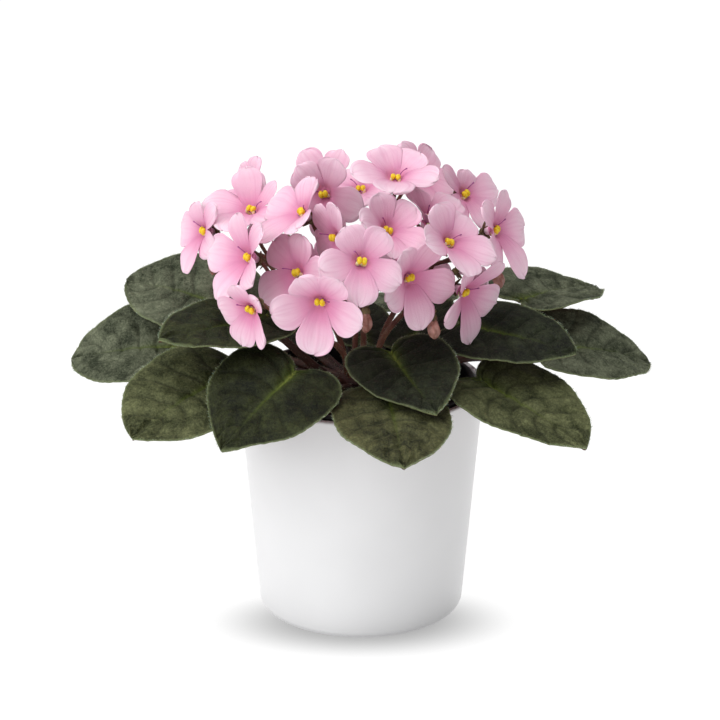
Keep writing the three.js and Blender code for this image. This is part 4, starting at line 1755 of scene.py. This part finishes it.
# How single flowers depart from the common one: for each lobe in the order above, how many degrees
# it stands up (below zero it opens wider), and its length and width as shares of the common ones.
HABITS = {
    1: ((0, 1, 0.9), (0, 1, 1), (4, 1.02, 1.05), (4, 0.94, 1.05), (0, 1.02, 1)),
    2: ((0, 1, 1), (0, 1.05, 1), (4, 1.06, 1.1), (4, 1.02, 1.15), (0, 1.1, 1)),
    3: ((0, 1, 1), (0, 1, 1), (10, 1.02, 1.05), (2, 1.1, 1.15), (0, 1.05, 1)),
    4: ((0, 0.94, 0.95), (-12, 0.95, 0.8), (-10, 1.12, 0.8), (4, 1.05, 0.95), (-4, 1.1, 1)),
    5: ((0, 0.92, 0.85), (26, 1.05, 0.6), (12, 1.05, 0.8), (6, 0.95, 1), (-4, 0.95, 1)),
    6: ((-6, 1, 0.9), (-20, 0.9, 0.9), (-14, 1.2, 0.9), (4, 0.85, 0.9), (-6, 0.85, 1)),
    7: ((0, 1, 1), (4, 1, 1), (40, 0.95, 0.75), (28, 1.18, 1.05), (-4, 1.14, 1.15)),
    8: ((0, 1.08, 1.12), (4, 1, 0.95), (26, 1.2, 0.66), (6, 1, 1), (-6, 1.16, 1.15)),
    9: ((0, 1, 1), (0, 1.05, 1), (0, 1.08, 1.15), (4, 1.05, 1.1), (0, 1, 1)),
    10: ((0, 1, 1), (-4, 1, 1), (4, 1.06, 1.05), (6, 1.06, 1.1), (0, 1, 1)),
    11: ((0, 1, 1), (0, 1, 1), (4, 1.05, 1.1), (4, 1.02, 1.25), (4, 1, 1)),
    12: ((0, 1, 1.1), (0, 1, 1.1), (2, 1, 1.1), (12, 1, 1.2), (0, 1, 1.1)),
    13: ((0, 1, 1), (0, 1.1, 1.05), (2, 0.96, 1.25), (8, 1, 1.5), (0, 1.08, 1)),
    14: ((0, 1.02, 0.95), (0, 1.06, 0.95), (8, 1.05, 0.95), (4, 1.05, 1), (2, 0.96, 0.95)),
    15: ((0, 1.05, 0.9), (0, 1.02, 0.95), (14, 1.12, 0.8), (-10, 0.95, 0.8), (-8, 1.05, 0.8)),
    16: ((0, 1, 0.95), (-4, 1.14, 1.15), (10, 0.8, 1), (14, 1.35, 0.75), (-8, 1, 0.95)),
    17: ((-4, 1.15, 0.92), (-4, 1.04, 1.05), (6, 1.02, 1), (-10, 1.15, 0.85), (-12, 1.05, 0.85)),
    20: ((0, 1, 1), (0, 1, 1), (0, 1.04, 0.95), (0, 1.18, 1), (0, 0.9, 1)),
    22: ((0, 1, 1), (0, 1, 1), (0, 1.08, 1), (0, 1, 1), (0, 1, 1)),
}


@dataclass
class Bloom:
    """One flower: five soft lobes in layers, a short tube, two yellow anthers and a thin style."""

    number: int
    opened: Opened
    throat_share: float = 0.1
    hinge: float = 0.15
    hinge_run: float = 0.3
    inner_rows: int = 9
    outer_rows: int = 14
    columns: int = 17
    crowding: float = 1.2
    base_spread: float = 46
    fullness: float = 1.03
    flattening: float = 0.2
    throat_dip: float = 1.5
    throat_ring: float = 0.1
    crease: float = 0.3
    roll_back: float = 0.9
    thickness: float = 0.35
    rim_thickness: float = 0.16
    tube_length: float = 4.4
    anther: float = 1.5
    anther_spread: float = 1.08
    anther_out: float = 1.3

    def __post_init__(self) -> None:
        """Works out the flower's own directions from the way it faces."""
        yaw, tilt, spin = np.radians([self.opened.yaw, self.opened.tilt, self.opened.spin])
        self.facing = np.array(
            [np.sin(yaw) * np.cos(tilt), -np.cos(yaw) * np.cos(tilt), np.sin(tilt)]
        )
        level = np.array([np.cos(yaw), np.sin(yaw), 0.0])
        upright = np.cross(self.facing, level)
        self.right = level * np.cos(spin) - upright * np.sin(spin)
        self.up = upright * np.cos(spin) + level * np.sin(spin)
        self.throat = np.array([self.opened.x, self.opened.y, self.opened.z], dtype=float)

    def place(self, right: Array, up: Array, out: Array) -> Array:
        """Points from their distances to the right, upwards and outwards of the throat.

        Args:
            right: Distances to the right of the throat in millimetres.
            up: Distances above it.
            out: Distances in front of it.

        Returns:
            The places.
        """
        parts = zip((right, up, out), (self.right, self.up, self.facing))
        return self.throat + sum(np.asarray(value)[..., None] * way for value, way in parts)

    def own_lobe(self, index: int, rng: Random) -> Lobe:
        """This flower's own version of a common lobe: its habit from the table, and some chance.

        Args:
            index: The lobe's number in the common list.
            rng: The source of chance.

        Returns:
            The lobe as this flower has it.
        """
        common = LOBES[index]
        rise, length, width = HABITS.get(self.number, ((0, 1, 1),) * len(LOBES))[index]
        return replace(
            common,
            direction=common.direction + rng.normal(0, 2.2),
            length=common.length * length * rng.uniform(0.97, 1.03),
            width=common.width * width * rng.uniform(0.96, 1.05),
            rise=rise + rng.normal(0, 2),
        )

    def raised(self, out: Array, rise: float) -> tuple[Array, Array]:
        """Bends a lobe up: past the hinge its slope grows over a short run to the full rise.

        The bent length is a parabola over the run and a straight line after it. It is shortened by
        one less the cosine of the rise, and lifted by the sine.

        Args:
            out: Distances outwards, in shares of the flower's size.
            rise: The full rise in degrees.

        Returns:
            The distances outwards after the bend, and the lift in shares of the flower's size.
        """
        past = np.clip(out - self.hinge, 0, self.hinge_run)
        bent = past**2 / (2 * self.hinge_run) + np.maximum(out - self.hinge - self.hinge_run, 0)
        angle = np.radians(rise)
        return out - (1 - np.cos(angle)) * bent, np.sin(angle) * bent

    def lobe(self, index: int, lobe: Lobe, rng: Random) -> Shell:
        """One lobe as a closed thin sheet.

        Up to its widest place its width grows as a power of the way there, so that neighbours lie
        over each other near the throat, and past it the outline is an oval. It rises by the
        flower's cup, dips along its middle, rolls back and ruffles towards its margin.

        Args:
            index: The lobe's number.
            lobe: Its sizes.
            rng: The source of chance.

        Returns:
            The closed lobe.
        """
        inner = np.linspace(0, 1, self.inner_rows, endpoint=False)
        angle = np.linspace(np.pi / 2, 0.06, self.outer_rows)
        oval = lobe.widest + (1 - lobe.widest) * np.cos(angle) ** 0.8
        first = self.throat_share + (lobe.widest - self.throat_share) * inner
        along = np.concatenate([first, oval])[:, None]
        base = self.throat_share * np.tan(np.radians(self.base_spread))
        broad = lobe.width / 2 * self.fullness
        half = np.concatenate([base + (broad - base) * inner**0.7, broad * np.sin(angle) ** 0.9])
        across = crowded(self.columns, self.crowding)
        phase = rng.uniform(0, 2 * np.pi, 4)
        notch = 0.05 * bell(across, 0.3) * rng.uniform(-0.5, 1.0)
        wander = 1 + (0.03 * np.sin(2.2 * np.pi * across + phase[3]) - notch) * along**3
        flat_out = lobe.length * along * wander
        over = half[:, None] * across
        reach = np.hypot(flat_out, over)
        out, raised = self.raised(flat_out, lobe.rise)
        way = np.radians(lobe.direction)
        right, up = out * np.cos(way) - over * np.sin(way), out * np.sin(way) + over * np.cos(way)
        size = self.opened.size
        slope = np.tan(np.radians(self.opened.cup))
        lift = size * (slope * reach * (1 - self.flattening * reach) + raised)
        lift = lift - self.throat_dip * bell(reach - self.throat_share, self.throat_ring)
        edge = np.clip(along, 0, 1) ** 3
        ruffle = 0.6 * np.sin(2.6 * np.pi * across / 2 + phase[0])
        ruffle = ruffle + 0.35 * np.sin(3 * np.pi * across + phase[1])
        lift = lift + edge * across**2 * (ruffle - 0.5)
        lift = lift - self.crease * bell(across, 0.2) * along * (1 - edge)
        lift = lift + 0.3 * np.sin(8 * along + phase[2]) * edge * across
        lift = lift - self.roll_back * np.clip((along - 0.7) / 0.3, 0, 1) ** 2
        lift = lift + lobe.layer * (0.25 + 0.8 * np.clip(2.4 * (reach - 0.3), 0, 1))
        point = self.place(size * right, size * up, lift)
        rim = np.maximum(np.abs(across), np.clip((along - 0.8) / 0.2, 0, 1)) ** 3
        thick = self.thickness + (self.rim_thickness - self.thickness) * rim
        below = self.place(size * right, size * up, lift - thick)
        shares = np.broadcast_to(along * (1 - lobe.flush), out.shape)
        which = np.full_like(shares, (self.number * 5 + index) / 200)
        form = np.stack([shares, np.broadcast_to(across, out.shape) / 2 + 0.5, which], axis=-1)
        return wrapped(there_and_back(point, below), there_and_back(form, form))

    def neck(self) -> Shell:
        """The short tube behind the face: a cone whose flushed wide end closes the throat.

        Returns:
            The closed cone.
        """
        radius = np.array([0.13 * self.opened.size, 0.12 * self.opened.size, 1.9, 1.6, 1.3])
        depth = np.array([-1.5, -2.0, -2.8, -3.6, -self.tube_length])
        angle = round_angles(20)
        right, up = radius[:, None] * np.cos(angle), radius[:, None] * np.sin(angle)
        rings = self.place(right, up, depth[:, None])
        form = np.full_like(rings, 0.5)
        form[..., 0] = np.array([0.12, 0.6, 0.75, 0.85, 0.9])[:, None]
        return wrapped(rings, form)

    def anthers(self) -> Shell:
        """Two plump lobes side by side, each a ball drawn out along the slit that it opens by.

        Returns:
            Both lobes as one shell.
        """
        polar = np.linspace(0.15, np.pi - 0.15, 10)[:, None]
        around = round_angles(14)[None]
        shells = []
        for side in (-1.0, 1.0):
            right = 0.78 * np.sin(polar) * np.cos(around)
            up = 1.15 * np.cos(polar) + 0 * around
            out = 0.85 * np.sin(polar) * np.sin(around)
            out = out - 0.25 * bell(right, 0.14) * (out > 0)
            right = self.anther * right + side * self.anther_spread
            out = self.anther * out + self.anther_out
            shells.append(wrapped(self.place(right, self.anther * up, out)))
        return Shell.joined(shells)

    def filaments(self) -> Shell:
        """The two short thick filaments of the anthers, bent outwards from the throat's floor.

        Returns:
            Both filaments as one shell.
        """
        controls = [(0.5, -0.8, -1.9), (1.7, -1.4, -0.8), (2.2, -1.5, 0.4), (1.2, -0.5, 1.2)]
        shells = []
        for side in (-1.0, 1.0):
            path = bezier(np.array(controls) * [side, 1.0, 1.0], np.linspace(0, 1, 9))
            shells.append(tube(self.place(*path.T), np.linspace(0.6, 0.75, 9), 9))
        return Shell.joined(shells)

    def style(self, rng: Random) -> Shell:
        """The thin style: a fine curved thread that leans out past the anthers to one side.

        Args:
            rng: The source of chance.

        Returns:
            The closed thread.
        """
        side = rng.choice([-1.0, 1.0])
        controls = [(0.6, 0.5, -1.2), (1.6, 1.5, 2.0), (2.6, 2.2, 3.6), (4.6, 2.6, 4.6)]
        path = bezier(np.array(controls) * [side, 1.0, 1.0], np.linspace(0, 1, 12))
        radius = np.linspace(0.24, 0.16, 12)
        radius[-2:] = 0.3
        return tube(self.place(*path.T), radius, 7)

    def build(self, rng: Random) -> None:
        """Makes the flower.

        Args:
            rng: The source of chance.
        """
        shells = [self.lobe(index, self.own_lobe(index, rng), rng) for index in range(len(LOBES))]
        shells += [self.neck(), self.anthers().dressed(1), self.style(rng).dressed(2)]
        shells.append(self.filaments().dressed(3))
        finishes = [finish.material() for finish in (PETAL, ANTHER, STYLE, FILAMENT)]
        name = f"{self.number:02d}"
        add_piece(f"flower_{name}", Shell.joined(shells), finishes, Slot.FLOWER, f"bloom_{name}")


# Flower sprays

# Where each spray forks, in millimetres, and where the buds hang, each with its spray's number.
FORKS = [
    (-24, 8, 152),
    (-26, -14, 138),
    (2, -20, 152),
    (22, -12, 150),
    (24, 10, 154),
    (-4, 6, 164),
    (0, 24, 144),
]
BUDS = [(2, -51, 151, 3), (31, -42, 145, 4), (-64, 6, 158, 1), (60, 0, 154, 5)]


@dataclass
class Spray:
    """One flower spray: a stalk that forks into the flowers' own stalks, with sepals and buds."""

    number: int
    blooms: list[Bloom]
    buds: list[Array]
    stalk_radius: float = 1.4
    stalk_top_radius: float = 1.1
    pedicel_radius: float = 0.85
    socket_reach: float = 6
    foot_height: float = 100
    first_socket: float = 173
    straight: float = 36
    fork_approach: float = 14
    calyx_below: float = 4.9
    behind_bloom: float = 16
    sag: float = 12
    into_fork: float = 0.35
    sepal_reach: float = 4.8
    sepal_width: float = 2.5
    bud_length: float = 12
    bud_radius: float = 3.1
    bud_lean: float = 0.3
    bud_neck: float = 6
    knob: float = 0.8
    flower_spread: float = 0.85
    bud_spread: float = 0.22
    stalk_hairs: int = 420
    stalk_hair_length: float = 1.0
    pedicel_hairs: int = 150
    pedicel_hair_length: float = 0.9
    stalk_sides: int = 12
    stalk_steps: int = 26
    pedicel_sides: int = 9
    pedicel_steps: int = 20
    fine_steps: int = 60
    folds: int = 5

    def __post_init__(self) -> None:
        """Works out where the stalk stands and where it forks."""
        angle = np.radians(self.first_socket + 360 * (self.number - 1) / len(FORKS))
        reach = self.socket_reach
        self.foot = np.array([reach * np.cos(angle), reach * np.sin(angle), self.foot_height])
        self.fork = np.array(FORKS[self.number - 1], dtype=float)

    def stalk(self) -> Array:
        """The main stalk's middle: a cubic curve that leaves the crown straight up.

        Returns:
            Places along its middle.
        """
        low, high = self.foot + UP * self.straight, self.fork - UP * self.fork_approach
        curve = bezier([self.foot, low, high, self.fork], np.linspace(0, 1, self.fine_steps))
        return evenly(curve, self.stalk_steps)

    def pedicel(self, start: Array, facing: Array, distance: float, sag: float) -> Array:
        """A flower's own stalk: backwards for a distance, sagging, and down into the fork.

        Args:
            start: Where it meets the flower.
            facing: The way the flower faces.
            distance: How far it runs straight backwards.
            sag: How far it sinks behind the flower.

        Returns:
            Places along its middle.
        """
        behind = start - facing * distance - UP * sag
        inward = self.fork + (behind - self.fork) * self.into_fork
        curve = bezier([start, behind, inward, self.fork], np.linspace(0, 1, self.fine_steps))
        return evenly(curve, self.pedicel_steps)

    def sepals(self, centre: Array, frame: Frame, spread: float) -> Shell:
        """Five narrow sepals behind a flower, each a small pointed sheet that curves forwards.

        Args:
            centre: Where they meet.
            frame: The flower's right, up and facing directions.
            spread: How far they open, from 0 for straight forwards to 1 for flat.

        Returns:
            The sepals and the small knob that they grow from.
        """
        right, up, facing = frame
        share = np.linspace(0.02, 0.98, 9)[:, None]
        turn = np.linspace(-1, 1, 7)[None]
        half = self.sepal_width / 2 * np.sin(np.pi * np.clip(share, 0, 1) ** 0.75) ** 0.8 + 0.06
        shells = []
        for k in range(self.folds):
            angle = 2 * np.pi * k / self.folds
            outwards = np.cos(angle) * right + np.sin(angle) * up
            aside = np.cos(angle) * up - np.sin(angle) * right
            reach = 0.6 + self.sepal_reach * share * (spread + (1 - spread) * 0.35 * (1 - share))
            rise = self.sepal_reach * (share**2 * 0.3 * spread + share * (1 - spread) * 0.95) - 0.4
            fold = 0.3 * np.abs(turn) * half
            across = half * turn
            top = (
                centre
                + (reach + 0 * turn)[..., None] * outwards
                + across[..., None] * aside
                + (rise + fold)[..., None] * facing
            )
            back = top - facing * 0.35 * (0.3 + spread) - outwards * 0.35 * (1.1 - spread)
            shells.append(wrapped(there_and_back(top, back)))
        knob = centre - facing * 0.9
        path = knob + np.linspace(-1.3, 1.3, 7)[:, None] * facing
        shells.append(tube(path, np.array([0.85, 1.3, 1.6, 1.75, 1.6, 1.2, 0.5]), 12))
        return Shell.joined(shells)

    def bud(self, centre: Array, axis: Array) -> Shell:
        """A nodding bud: fullest near its tip, with five folds where the lobes overlap.

        Args:
            centre: The middle of the bud.
            axis: The unit direction from its stalk to its tip.

        Returns:
            The closed bud.
        """
        share = np.linspace(0.01, 0.99, 20)
        radius = self.bud_radius * np.sin(np.pi * share**1.35) ** 0.7 * (0.55 + 0.45 * share)
        path = centre + (share[:, None] - 0.5) * self.bud_length * axis
        first, second = cross_sections(path)
        angle = round_angles(24)
        ridge = 1 + 0.13 * np.cos(self.folds * (angle + 1.2 * share[:, None]))
        ridge = radius[:, None] * ridge
        rings = path[:, None] + (ridge * np.cos(angle))[..., None] * first[:, None]
        return wrapped(rings + (ridge * np.sin(angle))[..., None] * second[:, None])

    def build(self, rng: Random) -> None:
        """Makes the spray: the stalk, the flowers' stalks, sepals, buds and their hairs.

        Args:
            rng: The source of chance.
        """
        path = self.stalk()
        radius = np.linspace(self.stalk_radius, self.stalk_top_radius, len(path))
        hairs = tube_hairs(path, radius, self.stalk_hairs, self.stalk_hair_length, rng)
        shells = [tube(path, radius, self.stalk_sides), hairs.dressed(1)]
        for bloom in self.blooms:
            centre = bloom.throat - bloom.facing * self.calyx_below
            start = centre - bloom.facing * self.knob
            distance = self.behind_bloom - self.calyx_below
            path = self.pedicel(start, bloom.facing, distance, self.sag)
            frame = (bloom.right, bloom.up, bloom.facing)
            shells += self.held(centre, path, frame, self.flower_spread, rng)
        for centre in self.buds:
            aside = unit((centre - self.fork) * [1.0, 1.0, 0.0])
            axis = unit(aside * self.bud_lean - UP)
            top = centre - axis * self.bud_length / 2
            path = self.pedicel(top, axis, self.bud_neck, 0.0)
            right = unit(np.cross(axis, aside))
            frame = (right, np.cross(axis, right), axis)
            shells += self.held(top + axis * self.knob, path, frame, self.bud_spread, rng)
            shells.append(self.bud(centre, axis).dressed(3))
        finishes = [finish.material() for finish in (FLOWER_STALK, HAIR, SEPAL, BUD)]
        name, node = f"flower_spray_{self.number}", f"spray_{self.number}"
        add_piece(name, Shell.joined(shells), finishes, Slot.STALK, node)

    def held(
        self, centre: Array, path: Array, frame: Frame, spread: float, rng: Random
    ) -> list[Shell]:
        """What holds one flower or bud: its own stalk with hairs, and the sepals behind it.

        Args:
            centre: Where the sepals meet.
            path: The middle of the flower's own stalk.
            frame: The flower's right, up and facing directions.
            spread: How far the sepals open, from 0 to 1.
            rng: The source of chance.

        Returns:
            The stalk, its hairs and the sepals.
        """
        count, length = self.pedicel_hairs, self.pedicel_hair_length
        hairs = tube_hairs(path, self.pedicel_radius, count, length, rng)
        return [
            tube(path, self.pedicel_radius, self.pedicel_sides),
            hairs.dressed(1),
            self.sepals(centre, frame, spread).dressed(2),
        ]


# The studio


@dataclass(frozen=True)
class Lamp:
    """A square soft light: its place, size and aim in metres, and its power in watts."""

    name: str
    place: tuple[float, float, float]
    size: float
    watts: float
    aim: tuple[float, float, float] = (0.0, 0.0, 0.12)

    def build(self) -> None:
        """Hangs the light so that it looks at the plant."""
        light = bpy.data.lights.new(self.name, "AREA")
        light.size = self.size
        light.energy = self.watts
        lamp = bpy.data.objects.new(self.name, light)
        lamp.location = self.place
        ahead = np.array(self.aim) - np.array(self.place)
        down = np.arctan2(np.hypot(ahead[0], ahead[1]), -ahead[2])
        lamp.rotation_euler = (down, 0.0, np.arctan2(ahead[1], ahead[0]) - np.pi / 2)
        bpy.context.scene.collection.objects.link(lamp)


@dataclass
class Studio:
    """A lit white table, soft light that is stronger from the left, and the photo's viewpoint."""

    focal_mm: float = 134.3
    pitch: float = 19.5
    camera_mm: tuple = (-0.45, -1128, 514)
    sky: float = 0.21
    floor: tuple = ((-4, -3, 0), (4, -3, 0), (4, 6, 0), (-4, 6, 0))
    lamps: tuple[Lamp, ...] = (
        Lamp("key_light", (-1.6, -0.95, 1.4), 2.2, 37.5),
        Lamp("top_light", (0.05, -0.1, 2.0), 1.2, 20),
        Lamp("front_light", (-0.25, -2.2, 0.9), 1.2, 4.5),
    )

    def build(self) -> None:
        """Makes the floor, the lights, the sky and the camera."""
        scene = bpy.context.scene
        mesh = bpy.data.meshes.new("studio_floor")
        mesh.from_pydata(self.floor, [], [(0, 1, 2, 3)])
        mesh.materials.append(TABLE.material())
        floor = bpy.data.objects.new("studio_floor", mesh)
        scene.collection.objects.link(floor)
        for lamp in self.lamps:
            lamp.build()
        world = bpy.data.worlds.new("studio_sky")
        world.use_nodes = True
        background = world.node_tree.nodes["Background"]
        background.inputs["Color"].default_value = (1, 1, 1, 1)
        background.inputs["Strength"].default_value = self.sky
        scene.world = world
        lens = bpy.data.cameras.new("camera")
        lens.lens = self.focal_mm
        camera = bpy.data.objects.new("camera", lens)
        camera.location = [value * MM for value in self.camera_mm]
        camera.rotation_euler = (np.radians(90 - self.pitch), 0, 0)
        scene.collection.objects.link(camera)
        scene.camera = camera
        scene.view_settings.view_transform = "Standard"


@dataclass
class Violet:
    """The whole plant in its pot, built in order from the pots up."""

    seed: int = 5
    front_grid: tuple[int, int] = (120, 57)
    rear_grid: tuple[int, int] = (64, 35)
    studio: Studio = field(default_factory=Studio)

    def build(self) -> None:
        """Makes every piece."""
        rng = np.random.default_rng(self.seed)
        self.studio.build()
        CoverPot().build()
        inner = GrowersPot()
        inner.build()
        PottingMix(inner).build(rng)
        blades = []
        for k, placed in enumerate(LEAVES):
            rows, columns = self.front_grid if k < FRONT_LEAVES else self.rear_grid
            blades.append(LeafBlade(k + 1, placed, rows, columns))
            blades[-1].build(rng)
        Crown(blades).build(rng)
        blooms = [Bloom(k + 1, opened) for k, opened in enumerate(BLOOMS)]
        for bloom in blooms:
            bloom.build(rng)
        for k in range(len(FORKS)):
            carried = [bloom for bloom in blooms if bloom.opened.spray == k + 1]
            buds = [np.array(bud[:3], dtype=float) for bud in BUDS if bud[3] == k + 1]
            Spray(k + 1, carried, buds).build(rng)


def main() -> None:
    """Loads the frame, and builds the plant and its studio."""
    logging.basicConfig(level=logging.INFO, format="%(message)s")
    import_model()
    Violet().build()
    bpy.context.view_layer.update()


if __name__ == "__main__":
    main()
